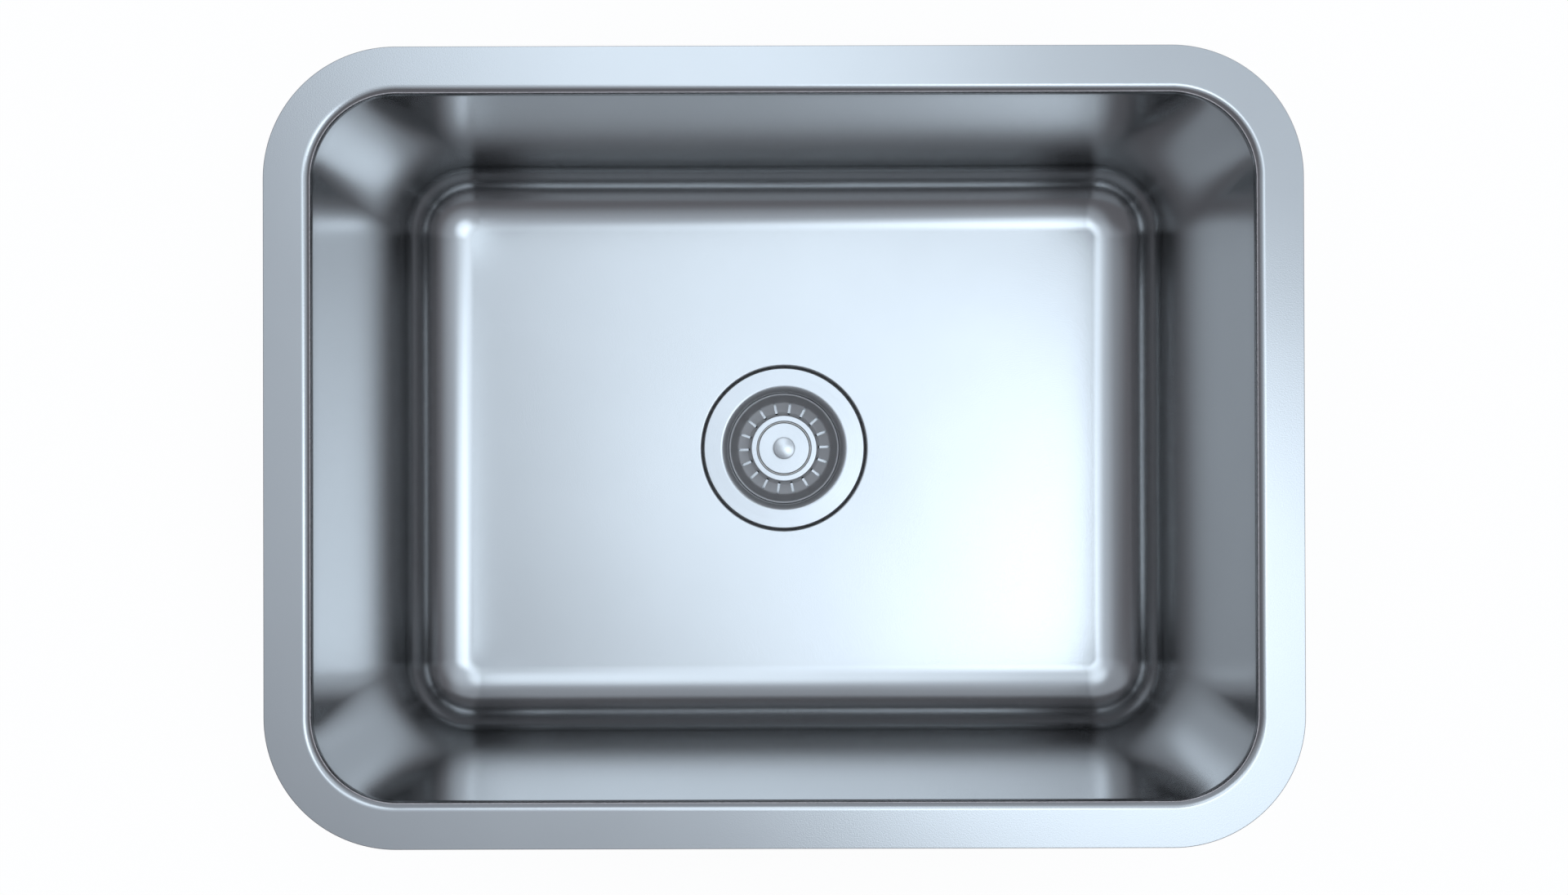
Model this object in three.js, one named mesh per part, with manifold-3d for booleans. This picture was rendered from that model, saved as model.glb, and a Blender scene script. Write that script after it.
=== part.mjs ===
// Undermount laundry sink: a pressed stainless bowl with a centred basket waste.
// Millimetres, +Z up. The origin is the middle of the bowl's mouth, in the plane of the flange's top face.
import * as THREE from 'three';
import { mergeVertices } from 'three/addons/utils/BufferGeometryUtils.js';
import Module from 'manifold-3d';

const wasm = await Module();
wasm.setup();

// Clearances
const seatGap = 0.3; // between two pieces that rest on each other
const cutOverrun = 2; // how far a cutter passes what it cuts

// Bowl, inside sizes at the top of the walls
const bowlLength = 504;
const bowlWidth = 377;
const bowlDepth = 240; // flange top to the floor beside the waste
const sheetThickness = 1.2;
const flangeWidth = 25.5;
const wallCornerRadius = 45;
const rimRadius = 5; // roll from the flange into the wall
const bottomRadius = 38; // from the wall into the floor
const wallDraft = 1.5; // how far each wall leans in on its way down
const floorFall = 3; // from the foot of the walls to the waste
const recessEdgeRadius = 1.6; // roll from the floor into the waste's recess
const recessCornerRadius = 0.8;

// Sound-deadening pads
const padThickness = 2.5;
const padGlue = 0.6;
const padCornerRadius = 12;
const longPadLength = 320;
const shortPadLength = 210;
const wallPadHeight = 120;
const floorPadInnerShare = 0.16; // of the way from the waste's recess to the foot of the walls
const floorPadOuterShare = 0.84;

// Strainer flange, the stainless dish that holds the basket
const strainerRadius = 55;
const strainerSheet = 0.8;
const strainerDrop = 0.3; // flange top below the floor
const strainerEdgeRadius = 1;
const strainerEdgeDepth = 2;
const recessClearance = 1.4; // open ring round the flange
const throatRadius = 39.8;
const throatEdgeRadius = 3.8;
const throatTaper = 0.2;
const basketSeatDepth = 10.6; // flange top to the basket's seat
const basketSeatWidth = 1.4;
const dishTaper = 1.2;
const dishDepth = 34.7; // flange top to the drain floor
const dishFloorRadius = 3; // from the dish's wall into the drain floor
const drainHoleCount = 8;
const drainHoleRadius = 4.4;
const drainPitchRadius = 14.4;
const dimpleRadius = 8.4;
const dimpleTaper = 1.6;
const dimpleDepth = 3.2;

// Gaskets
const flangeGasketThickness = 2.4;
const flangeGasketWidth = 7.5;
const bodyGasketThickness = 3;

// Waste body, moulded, under the bowl
const holeClearance = 4.4; // sink hole round the throat
const bodyClearance = 3.4; // body's cup round the throat
const bodyWall = 3;
const bodyRimWidth = 9;
const bodyRimThickness = 6;
const bodyCupDepth = 31;
const funnelDepth = 15;
const outletRadius = 23.9; // 1 1/2 inch pipe thread
const outletWall = 3.9;
const outletLength = 27;
const hubRadius = 8.6;
const hubLength = 19;
const hubRibCount = 4;
const hubRibThickness = 3;
const hubRibDrop = 3; // top of the ribs below the hub's face
const hubRibHeight = 14;

// Clamp screw and its insert
const clampScrewRadius = 3;
const clampHeadRadius = 5.6;
const clampHeadHeight = 2.6;
const driveSlotWidth = 1.4;
const driveSlotDepth = 1.3;
const insertRadius = 5.6;
const insertLength = 9;

// Basket cup
const basketSheet = 0.7;
const basketRimGap = 0.6; // round the rim, in the throat
const basketBeadRadius = 1; // the rim is curled over into a bead that stands on the seat
const basketDepth = 11.8; // rim to the foot of the cup's wall
const basketTaper = 4.6;
const basketFootRadius = 1.4;
const bandWidth = 7.3; // slotted band between the cup's wall and the boss
const bandFall = 2.3;
const bossHeight = 9.1;
const bossTaper = 2.3;
const bossEdgeRadius = 1;
const bossRimWidth = 4.2;
const bossLipDepth = 1.2;
const slotCount = 18;
const slotWidth = 1.9;
const slotInset = 2; // each slot runs this far into the foot of the boss
const slotMargin = 0.8; // and stops this far short of the foot of the wall
const firstSlotTurn = THREE.MathUtils.degToRad(2);

// Plug in the basket's boss
const plugTravel = 6;
const openClearance = 0.5; // stopper to bush with the plug pulled up
const capGap = 0.8; // round the cap, in the boss's mouth
const capSheet = 0.7;
const capEdgeRadius = 0.9;
const capEdgeDepth = 2.2;
const pistonClearance = 0.5; // piston in its bush
const bushWall = 2.2;
const gripRingSection = 0.7; // radius of its round section
const gripRingClearance = 0.3;
const knobRadius = 7.5;
const knobDomeRadius = 35;
const knobEdgeRadius = 1.5;
const knobFlareHeight = 3; // from the neck out to the knob's edge
const knobNeckRadius = 4.2;
const knobNeckHeight = 5;
const stopperHeight = 8.4;
const stopperTopRadius = 20.4;
const stopperShoulderRadius = 22.4;
const stopperShoulderDrop = 2.2;
const stopperLipRadius = 25.2;
const stopperLipHeight = 1.2;
const stopperLipWidth = 2.4;
const stopperWeb = 2.6;
const stopperHollowRadius = 19;
const plateRadius = 13;
const plateThickness = 1;
const plugScrewRadius = 2;
const plugHeadRadius = 4;
const plugHeadHeight = 1.8;
const knobThreadDepth = 7;

// Facets: none of these is a length
const roundSteps = 36;
const plugSteps = 24;
const screwSteps = 12;
const cornerSteps = 8;
const sideSteps = 3;
const bottomSteps = 6;
const rimSteps = 3;
const filletSteps = 2;
const edgeSteps = 3;
const padCornerSteps = 3;

// Sizes worked out from the driving ones
const wallHeight = bowlDepth - floorFall - rimRadius - bottomRadius;
const floorInset = wallDraft + bottomRadius;
const recessDepth = strainerDrop + strainerSheet + flangeGasketThickness + 2 * seatGap;
const recessRadius = strainerRadius + recessClearance;
const recessMouthRadius = recessRadius + recessEdgeRadius;
const sinkHoleRadius = throatRadius + strainerSheet + holeClearance;
const minCornerRadius = sheetThickness / 2;

// Heights in the waste, from the floor of the bowl beside it
const strainerTop = -strainerDrop;
const gasketTop = strainerTop - strainerSheet - seatGap;
const recessFloor = -recessDepth;
const bodyGasketTop = recessFloor - sheetThickness - seatGap;
const bodyTop = bodyGasketTop - bodyGasketThickness - seatGap;
const basketSeat = strainerTop - basketSeatDepth;
const drainFloor = strainerTop - dishDepth;
const dimpleFloor = drainFloor - dimpleDepth;
const hubTop = dimpleFloor - strainerSheet - seatGap;
const hubBottom = hubTop - hubLength;
const basketTop = basketSeat + seatGap + basketBeadRadius;
const bandOuterHeight = basketTop - basketDepth;
const bandInnerHeight = bandOuterHeight - bandFall;
const bossTop = bandInnerHeight + bossHeight;
const stopperTop = drainFloor + seatGap + stopperHeight;
const capTop = bossTop;
const pistonTop = capTop - capSheet - seatGap;
const pistonBottom = stopperTop + seatGap;
const bushTop = bossTop - basketSheet - seatGap;
const bushBottom = stopperTop + plugTravel + openClearance;
const gripRingHeight = (bossTop - bossLipDepth - seatGap + bushBottom) / 2;
const plateTop = stopperTop - stopperWeb - seatGap;
const knobBottom = capTop + seatGap;
const funnelBottom = bodyTop - bodyCupDepth - funnelDepth;
const outletEnd = funnelBottom - outletLength;

// Radii in the waste
const seatOuterRadius = throatRadius - throatTaper;
const seatInnerRadius = seatOuterRadius - basketSeatWidth;
const dishWallFoot = seatInnerRadius - dishTaper;
const basketRadius = seatOuterRadius - basketRimGap;
const basketMouthRadius = basketRadius - 2 * basketBeadRadius;
const bandOuterRadius = basketMouthRadius - basketTaper;
const bandInnerRadius = bandOuterRadius - bandWidth;
const bossRadius = bandInnerRadius - bossTaper;
const bossMouthRadius = bossRadius - bossRimWidth;
const capRadius = bossMouthRadius - capGap;
const pistonRadius = capRadius;
const bushBore = pistonRadius + pistonClearance;
const gripRingRadius = pistonRadius + gripRingClearance + gripRingSection;
const bodyCupRadius = throatRadius + strainerSheet + bodyClearance;
const outletBore = outletRadius - outletWall;

function brushedSteel() {
  return new THREE.MeshStandardMaterial({ color: 0xc3ccd4, roughness: 0.32, metalness: 1 });
}

function polishedSteel() {
  return new THREE.MeshStandardMaterial({ color: 0xd9dfe4, roughness: 0.16, metalness: 1 });
}

function chrome() {
  return new THREE.MeshStandardMaterial({ color: 0xe6ebef, roughness: 0.08, metalness: 1 });
}

function brass() {
  return new THREE.MeshStandardMaterial({ color: 0xb9964f, roughness: 0.35, metalness: 1 });
}

function blackRubber() {
  return new THREE.MeshStandardMaterial({ color: 0x1d1f21, roughness: 0.85, metalness: 0 });
}

function padRubber() {
  return new THREE.MeshStandardMaterial({ color: 0x4a4d50, roughness: 0.9, metalness: 0 });
}

function whitePlastic() {
  return new THREE.MeshStandardMaterial({ color: 0xe9eaea, roughness: 0.45, metalness: 0 });
}

function darkPlastic() {
  return new THREE.MeshStandardMaterial({ color: 0x3a3d40, roughness: 0.5, metalness: 0 });
}

function namedMesh(name, geometry, material) {
  const mesh = new THREE.Mesh(geometry, material);
  mesh.name = name;
  return mesh;
}

// Points of an arc in a profile, [radius, height], with angles in quarter turns from straight out
function arc(centreRadius, centreHeight, radius, fromQuarter, toQuarter, steps = filletSteps) {
  const points = [];
  for (let i = 0; i <= steps; i += 1) {
    const angle = (fromQuarter + ((toQuarter - fromQuarter) * i) / steps) * (Math.PI / 2);
    points.push([centreRadius + radius * Math.cos(angle), centreHeight + radius * Math.sin(angle)]);
  }
  return points;
}

function signedArea(profile) {
  let area = 0;
  profile.forEach(([x, y], i) => {
    const [nextX, nextY] = profile[(i + 1) % profile.length];
    area += (x * nextY - nextX * y) / 2;
  });
  return area;
}

// A closed profile of [radius, height] turned about the Z axis
function revolve(profile, steps = roundSteps) {
  const ordered = signedArea(profile) > 0 ? profile : [...profile].reverse();
  const onAxis = ordered.findIndex(([radius], i) => radius === 0
    && ordered[(i + ordered.length - 1) % ordered.length][0] === 0);
  const start = Math.max(onAxis, 0);
  const turned = [...ordered.slice(start), ...ordered.slice(0, start)];
  const closed = onAxis < 0 ? [...turned, turned[0]] : turned;
  const points = closed.map(([radius, height]) => new THREE.Vector2(radius, height));
  return new THREE.LatheGeometry(points, steps).rotateX(Math.PI / 2);
}

// The closed profile of a sheet whose upper face follows the path, thickened to the path's left
function sheetProfile(path, thickness) {
  const normals = path.slice(1).map(([x, y], i) => {
    const [fromX, fromY] = path[i];
    return new THREE.Vector2(fromY - y, x - fromX).normalize();
  });
  const under = path.map(([x, y], i) => {
    const before = normals[Math.max(i - 1, 0)];
    const after = normals[Math.min(i, normals.length - 1)];
    const middle = before.clone().add(after).normalize();
    const reach = thickness / middle.dot(after);
    return [x + middle.x * reach, y + middle.y * reach];
  });
  return [...path, ...under.reverse()];
}

function ringProfile(innerRadius, outerRadius, bottom, top) {
  return [[innerRadius, bottom], [outerRadius, bottom], [outerRadius, top], [innerRadius, top]];
}

function toSolid(geometry) {
  const bare = geometry.clone();
  bare.deleteAttribute('normal');
  bare.deleteAttribute('uv');
  const merged = mergeVertices(bare);
  return new wasm.Manifold(new wasm.Mesh({
    numProp: 3,
    vertProperties: merged.attributes.position.array,
    triVerts: new Uint32Array(merged.index.array),
  }));
}

function toGeometry(solid) {
  const { vertProperties, triVerts } = solid.getMesh();
  const geometry = new THREE.BufferGeometry();
  geometry.setAttribute('position', new THREE.BufferAttribute(vertProperties, 3));
  geometry.setIndex(new THREE.BufferAttribute(triVerts, 1));
  geometry.computeVertexNormals();
  return geometry;
}

function cutAll(geometry, cutters) {
  return toGeometry(cutters.reduce((solid, cutter) => solid.subtract(toSolid(cutter)), toSolid(geometry)));
}

// Points round a rounded rectangle, anticlockwise, as many in every outline of the bowl
function rectangleOutline(halfLength, halfWidth, radius) {
  const points = [];
  [[1, 1], [-1, 1], [-1, -1], [1, -1]].forEach(([sideX, sideY], corner) => {
    for (let i = 0; i <= cornerSteps; i += 1) {
      const angle = (corner + i / cornerSteps) * (Math.PI / 2);
      points.push([
        sideX * (halfLength - radius) + radius * Math.cos(angle),
        sideY * (halfWidth - radius) + radius * Math.sin(angle),
      ]);
    }
    const along = corner % 2 === 0;
    const [x, y] = points[points.length - 1];
    for (let i = 1; i < sideSteps; i += 1) {
      const travel = 1 - (2 * i) / sideSteps;
      points.push(along ? [x * travel, y] : [x, y * travel]);
    }
  });
  return points;
}

const outlinePoints = 4 * (cornerSteps + sideSteps);

// A circle whose points pair with those of the rounded rectangles
function circleOutline(radius) {
  return Array.from({ length: outlinePoints }, (_, i) => {
    const angle = Math.PI / 4 + ((i - cornerSteps / 2) * 2 * Math.PI) / outlinePoints;
    return [radius * Math.cos(angle), radius * Math.sin(angle)];
  });
}

// The bowl's outline at a distance outside the top of its walls (inside where it is negative)
function bowlOutline(outset) {
  return rectangleOutline(
    bowlLength / 2 + outset,
    bowlWidth / 2 + outset,
    Math.max(wallCornerRadius + outset, minCornerRadius),
  );
}

// The floor's outline at a share of the way from the waste's recess to the foot of the walls
function floorOutline(share) {
  const circle = circleOutline(recessMouthRadius);
  const foot = bowlOutline(-floorInset);
  return circle.map(([x, y], i) => [x + (foot[i][0] - x) * share, y + (foot[i][1] - y) * share]);
}

function floorHeight(share) {
  return -bowlDepth + floorFall * share;
}

// A closed skin over a ring of outlines, each {outline, height}: the last joins the first
function loftRing(stations) {
  const positions = stations.flatMap(({ outline, height }) => outline.flatMap(([x, y]) => [x, y, height]));
  const index = [];
  stations.forEach((_, k) => {
    const here = k * outlinePoints;
    const next = ((k + 1) % stations.length) * outlinePoints;
    for (let i = 0; i < outlinePoints; i += 1) {
      const j = (i + 1) % outlinePoints;
      index.push(here + i, next + i, next + j, here + i, next + j, here + j);
    }
  });
  const geometry = new THREE.BufferGeometry();
  geometry.setAttribute('position', new THREE.Float32BufferAttribute(positions, 3));
  geometry.setIndex(index);
  geometry.computeVertexNormals();
  return geometry;
}

// One face of the bowl's sheet from the sink hole out to the flange's edge. The skin is 0 for the
// face that holds the water and the sheet's thickness for the outer one.
function bowlFace(skin) {
  const recess = [
    [sinkHoleRadius, -recessDepth - skin],
    ...arc(
      recessRadius - recessCornerRadius,
      recessCornerRadius - recessDepth,
      recessCornerRadius + skin,
      -1,
      0,
    ),
    ...arc(recessMouthRadius, -recessEdgeRadius, recessEdgeRadius - skin, 2, 1),
  ].map(([radius, height]) => ({ outline: circleOutline(radius), height: height - bowlDepth }));
  const floor = [0.5].map((share) => ({ outline: floorOutline(share), height: floorHeight(share) - skin }));
  const wallFoot = -rimRadius - wallHeight;
  const bottom = arc(-floorInset, wallFoot, bottomRadius + skin, -1, 0, bottomSteps);
  const rim = arc(rimRadius, -rimRadius, rimRadius - skin, 2, 1, rimSteps);
  const upper = [...bottom, ...rim, [flangeWidth, -skin]]
    .map(([outset, height]) => ({ outline: bowlOutline(outset), height }));
  return [...recess, ...floor, ...upper];
}

function bowlShell() {
  const geometry = loftRing([...bowlFace(0), ...bowlFace(sheetThickness).reverse()]);
  return namedMesh('bowl_shell', geometry, brushedSteel());
}

function floorPad() {
  const shares = [floorPadInnerShare, 0.5, floorPadOuterShare];
  const top = shares.map((share) => ({
    outline: floorOutline(share),
    height: floorHeight(share) - sheetThickness - padGlue,
  }));
  const bottom = top.map(({ outline, height }) => ({ outline, height: height - padThickness }));
  return namedMesh('floor_pad', loftRing([...top, ...bottom.reverse()]), padRubber());
}

function roundedRectangle(length, width, radius) {
  const shape = new THREE.Shape();
  [[1, 1], [-1, 1], [-1, -1], [1, -1]].forEach(([sideX, sideY], corner) => {
    const start = corner * (Math.PI / 2);
    const centreX = sideX * (length / 2 - radius);
    const centreY = sideY * (width / 2 - radius);
    shape.absarc(centreX, centreY, radius, start, start + Math.PI / 2, false);
  });
  return shape;
}

// A pad on the outside of the wall that faces -Y before the holder is turned
function wallPad(name, quarterTurns, length, wallDistance) {
  const shape = roundedRectangle(length, wallPadHeight, padCornerRadius);
  const geometry = new THREE.ExtrudeGeometry(shape, {
    depth: padThickness,
    bevelEnabled: false,
    curveSegments: padCornerSteps,
  });
  const pad = namedMesh(name, geometry, padRubber());
  const lean = Math.atan(wallDraft / wallHeight);
  pad.rotation.x = Math.PI / 2 + lean;
  pad.position.set(0, wallDraft / 2 - wallDistance - sheetThickness - padGlue, -rimRadius - wallHeight / 2);
  const holder = new THREE.Group();
  holder.rotation.z = quarterTurns * (Math.PI / 2);
  holder.add(pad);
  return holder;
}

function wallPads() {
  return [
    wallPad('wall_pad_front', 0, longPadLength, bowlWidth / 2),
    wallPad('wall_pad_right', 1, shortPadLength, bowlLength / 2),
    wallPad('wall_pad_back', 2, longPadLength, bowlWidth / 2),
    wallPad('wall_pad_left', 3, shortPadLength, bowlLength / 2),
  ];
}

function roundCutter(radius, bottom, top, x = 0, y = 0) {
  return revolve([[0, bottom], [radius, bottom], [radius, top], [0, top]], screwSteps).translate(x, y, 0);
}

function strainerFlange() {
  const path = [
    [clampScrewRadius + seatGap, dimpleFloor],
    [dimpleRadius - dimpleTaper, dimpleFloor],
    [dimpleRadius, drainFloor],
    ...arc(dishWallFoot - dishFloorRadius, drainFloor + dishFloorRadius, dishFloorRadius, -1, 0),
    [seatInnerRadius, basketSeat],
    [seatOuterRadius, basketSeat],
    ...arc(
      throatRadius + throatEdgeRadius,
      strainerTop - throatEdgeRadius,
      throatEdgeRadius,
      2,
      1,
      edgeSteps,
    ),
    ...arc(strainerRadius - strainerEdgeRadius, strainerTop - strainerEdgeRadius, strainerEdgeRadius, 1, 0),
    [strainerRadius, strainerTop - strainerEdgeDepth],
  ];
  const dish = revolve(sheetProfile([...path].reverse(), strainerSheet));
  const holes = Array.from({ length: drainHoleCount }, (_, i) => {
    const angle = (i * 2 * Math.PI) / drainHoleCount;
    return roundCutter(
      drainHoleRadius,
      drainFloor - strainerSheet - cutOverrun,
      drainFloor + cutOverrun,
      drainPitchRadius * Math.cos(angle),
      drainPitchRadius * Math.sin(angle),
    );
  });
  return namedMesh('strainer_flange', cutAll(dish, holes), polishedSteel());
}

function flangeGasket() {
  const outer = strainerRadius - strainerSheet - seatGap;
  const profile = ringProfile(outer - flangeGasketWidth, outer, gasketTop - flangeGasketThickness, gasketTop);
  return namedMesh('flange_gasket', revolve(profile), blackRubber());
}

function bodyGasket() {
  const bore = bodyCupRadius;
  const outer = bodyCupRadius + bodyWall + bodyRimWidth;
  const profile = ringProfile(bore, outer, bodyGasketTop - bodyGasketThickness, bodyGasketTop);
  return namedMesh('body_gasket', revolve(profile), blackRubber());
}

// The inside of the body from its mouth to its outlet, grown outwards into the wall by a margin
function bodyInside(margin) {
  return [
    [0, outletEnd],
    [outletBore + margin, outletEnd],
    [outletBore + margin, funnelBottom],
    [bodyCupRadius + margin, bodyTop - bodyCupDepth],
    [bodyCupRadius + margin, bodyTop],
    [0, bodyTop],
  ];
}

function wasteBody() {
  const outerCup = bodyCupRadius + bodyWall;
  const rimOuter = outerCup + bodyRimWidth;
  const shell = revolve([
    [bodyCupRadius, bodyTop],
    [bodyCupRadius, bodyTop - bodyCupDepth],
    [outletBore, funnelBottom],
    [outletBore, outletEnd],
    [outletRadius, outletEnd],
    [outletRadius, funnelBottom - bodyWall],
    [outerCup, bodyTop - bodyCupDepth - bodyWall],
    [outerCup, bodyTop - bodyRimThickness],
    [rimOuter, bodyTop - bodyRimThickness],
    [rimOuter, bodyTop],
  ]);
  const hub = revolve([[0, hubBottom], [hubRadius, hubBottom], [hubRadius, hubTop], [0, hubTop]]);
  const inside = toSolid(revolve(bodyInside(bodyWall / 2)));
  let body = toSolid(shell).add(toSolid(hub));
  for (let i = 0; i < hubRibCount / 2; i += 1) {
    const rib = new THREE.BoxGeometry(2 * outerCup, hubRibThickness, hubRibHeight)
      .translate(0, 0, hubTop - hubRibDrop - hubRibHeight / 2)
      .rotateZ(((i + 1 / 2) * 2 * Math.PI) / hubRibCount);
    body = body.add(toSolid(rib).intersect(inside));
  }
  const bore = roundCutter(clampScrewRadius + seatGap, hubBottom - cutOverrun, hubTop + cutOverrun);
  const pocket = roundCutter(
    insertRadius + seatGap,
    hubBottom - cutOverrun,
    hubBottom + insertLength + seatGap,
  );
  const cut = body.subtract(toSolid(bore)).subtract(toSolid(pocket));
  return namedMesh('waste_body', toGeometry(cut), whitePlastic());
}

function threadInsert() {
  const profile = ringProfile(clampScrewRadius + seatGap, insertRadius, hubBottom, hubBottom + insertLength);
  return namedMesh('thread_insert', revolve(profile, screwSteps), brass());
}

function clampScrew() {
  const headBottom = dimpleFloor + seatGap;
  const headTop = headBottom + clampHeadHeight;
  const turned = revolve([
    [0, hubBottom],
    [clampScrewRadius, hubBottom],
    [clampScrewRadius, headBottom],
    [clampHeadRadius, headBottom],
    [clampHeadRadius, headTop - clampHeadHeight / 2],
    [clampHeadRadius - clampHeadHeight / 2, headTop],
    [0, headTop],
  ], screwSteps);
  const slot = new THREE.BoxGeometry(2 * clampHeadRadius + cutOverrun, driveSlotWidth, 2 * driveSlotDepth)
    .translate(0, 0, headTop);
  return namedMesh('clamp_screw', cutAll(turned, [slot]), chrome());
}

// A radial slot with round ends, through the basket's band
function slotCutter(turn) {
  const from = bandInnerRadius - slotInset;
  const to = bandOuterRadius - slotMargin;
  const shape = roundedRectangle(to - from, slotWidth, slotWidth / 2);
  const depth = bandFall + 2 * (basketSheet + cutOverrun);
  return new THREE.ExtrudeGeometry(shape, { depth, bevelEnabled: false, curveSegments: 1 })
    .translate((from + to) / 2, 0, bandInnerHeight - basketSheet - cutOverrun)
    .rotateZ(turn);
}

function basketCup() {
  const path = [
    ...arc(
      basketRadius - basketBeadRadius,
      basketTop - basketBeadRadius,
      basketBeadRadius,
      0,
      2,
      2 * filletSteps,
    ),
    [bandOuterRadius + basketFootRadius / 2, bandOuterHeight + basketFootRadius],
    [bandOuterRadius - basketFootRadius / 2, bandOuterHeight],
    [bandInnerRadius + bossEdgeRadius / 2, bandInnerHeight],
    [bandInnerRadius - bossEdgeRadius / 2, bandInnerHeight + bossEdgeRadius],
    ...arc(bossRadius - bossEdgeRadius, bossTop - bossEdgeRadius, bossEdgeRadius, 0, 1),
    [bossMouthRadius + basketSheet, bossTop],
    [bossMouthRadius, bossTop - basketSheet],
    [bossMouthRadius, bossTop - bossLipDepth],
  ];
  const cup = revolve(sheetProfile(path, basketSheet));
  const slots = Array.from({ length: slotCount }, (_, i) => (
    slotCutter(firstSlotTurn + (i * 2 * Math.PI) / slotCount)
  ));
  return namedMesh('basket_cup', cutAll(cup, slots), polishedSteel());
}

function basketBush() {
  const outer = bossMouthRadius + basketSheet + bushWall;
  const lipSeat = bossTop - bossLipDepth - seatGap;
  const lipOuter = bossMouthRadius + basketSheet + 2 * seatGap;
  const grooveHalf = gripRingSection + seatGap;
  const grooveRadius = gripRingRadius + gripRingSection + seatGap;
  const profile = [
    [bushBore, bushBottom],
    [outer, bushBottom],
    [outer, bushTop],
    [lipOuter, bushTop],
    [lipOuter, lipSeat],
    [bushBore, lipSeat],
    [bushBore, gripRingHeight + grooveHalf],
    [grooveRadius, gripRingHeight + grooveHalf],
    [grooveRadius, gripRingHeight - grooveHalf],
    [bushBore, gripRingHeight - grooveHalf],
  ];
  return namedMesh('basket_bush', revolve(profile, plugSteps), whitePlastic());
}

function gripRing() {
  const section = arc(gripRingRadius, gripRingHeight, gripRingSection, 0, 4, 3 * filletSteps).slice(1);
  return namedMesh('grip_ring', revolve(section, plugSteps), blackRubber());
}

function plugCap() {
  const path = [
    [capRadius, capTop - capEdgeDepth],
    ...arc(capRadius - capEdgeRadius, capTop - capEdgeRadius, capEdgeRadius, 0, 1),
    [plugScrewRadius + seatGap, capTop],
  ];
  return namedMesh('plug_cap', revolve(sheetProfile(path, capSheet), plugSteps), polishedSteel());
}

function plugPiston() {
  const bore = plugScrewRadius + seatGap;
  const neck = capRadius - capSheet - seatGap;
  const shoulder = capTop - capEdgeDepth - seatGap;
  const profile = [
    [bore, pistonBottom],
    [pistonRadius, pistonBottom],
    [pistonRadius, shoulder],
    [neck, shoulder],
    [neck, pistonTop],
    [bore, pistonTop],
  ];
  return namedMesh('plug_piston', revolve(profile, plugSteps), darkPlastic());
}

function plugStopper() {
  const bore = plugScrewRadius + seatGap;
  const lipBottom = drainFloor + seatGap;
  const webBottom = stopperTop - stopperWeb;
  const profile = [
    [bore, webBottom],
    [stopperHollowRadius, webBottom],
    [stopperLipRadius - stopperLipWidth, lipBottom],
    [stopperLipRadius, lipBottom],
    [stopperLipRadius, lipBottom + stopperLipHeight],
    [stopperShoulderRadius, stopperTop - stopperShoulderDrop],
    [stopperTopRadius, stopperTop],
    [bore, stopperTop],
  ];
  return namedMesh('plug_stopper', revolve(profile, plugSteps), blackRubber());
}

function stopperPlate() {
  const profile = ringProfile(plugScrewRadius + seatGap, plateRadius, plateTop - plateThickness, plateTop);
  return namedMesh('stopper_plate', revolve(profile, plugSteps), polishedSteel());
}

function plugScrew() {
  const headTop = plateTop - plateThickness - seatGap;
  const headBottom = headTop - plugHeadHeight;
  const shankTop = knobBottom + knobThreadDepth;
  const turned = revolve([
    [0, headBottom],
    [plugHeadRadius, headBottom],
    [plugHeadRadius, headTop],
    [plugScrewRadius, headTop],
    [plugScrewRadius, shankTop],
    [0, shankTop],
  ], screwSteps);
  const slot = new THREE.BoxGeometry(2 * plugHeadRadius + cutOverrun, driveSlotWidth, 2 * driveSlotDepth)
    .translate(0, 0, headBottom);
  return namedMesh('plug_screw', cutAll(turned, [slot]), chrome());
}

// A mushroom knob: neck, flare, rounded edge and a low dome that the edge runs into
function plugKnob() {
  const bore = plugScrewRadius + seatGap;
  const boreTop = knobBottom + knobThreadDepth + seatGap;
  const neckTop = knobBottom + knobNeckHeight;
  const edgeHeight = neckTop + knobFlareHeight;
  const edgeRadius = knobRadius - knobEdgeRadius;
  const domeReach = knobDomeRadius - knobEdgeRadius;
  const domeCentre = edgeHeight - Math.sqrt(domeReach ** 2 - edgeRadius ** 2);
  const domeQuarter = Math.acos(edgeRadius / domeReach) / (Math.PI / 2);
  const profile = [
    [0, boreTop],
    [bore, boreTop],
    [bore, knobBottom],
    [knobNeckRadius, knobBottom],
    [knobNeckRadius, neckTop],
    ...arc(edgeRadius, edgeHeight, knobEdgeRadius, 0, domeQuarter, edgeSteps),
    ...arc(0, domeCentre, knobDomeRadius, domeQuarter, 1, edgeSteps).slice(1, -1),
    [0, domeCentre + knobDomeRadius],
  ];
  return namedMesh('plug_knob', revolve(profile, plugSteps), chrome());
}

function groupOf(...pieces) {
  return new THREE.Group().add(...pieces);
}

const bowl = groupOf(bowlShell(), floorPad(), ...wallPads());
const drain = groupOf(
  strainerFlange(),
  flangeGasket(),
  bodyGasket(),
  wasteBody(),
  threadInsert(),
  clampScrew(),
);
const plug = groupOf(plugKnob(), plugCap(), plugPiston(), plugStopper(), stopperPlate(), plugScrew());
const basket = groupOf(basketCup(), basketBush(), gripRing(), plug);
const waste = groupOf(drain, basket);
waste.position.z = -bowlDepth;

export default groupOf(bowl, waste);
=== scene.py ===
"""The looks of an undermount laundry sink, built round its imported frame.

A pressed stainless bowl hangs by its flange, with sound-deadening pads outside and a basket waste in
the middle of its floor. Every piece is a profile or an outline worked out with numpy, in metres, with
+Z up out of the bowl, and it stands where the frame says. The camera looks straight down.
"""

from __future__ import annotations

import logging
import math
from dataclasses import dataclass
from enum import Enum
from typing import Any, Callable, Iterable

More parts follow.
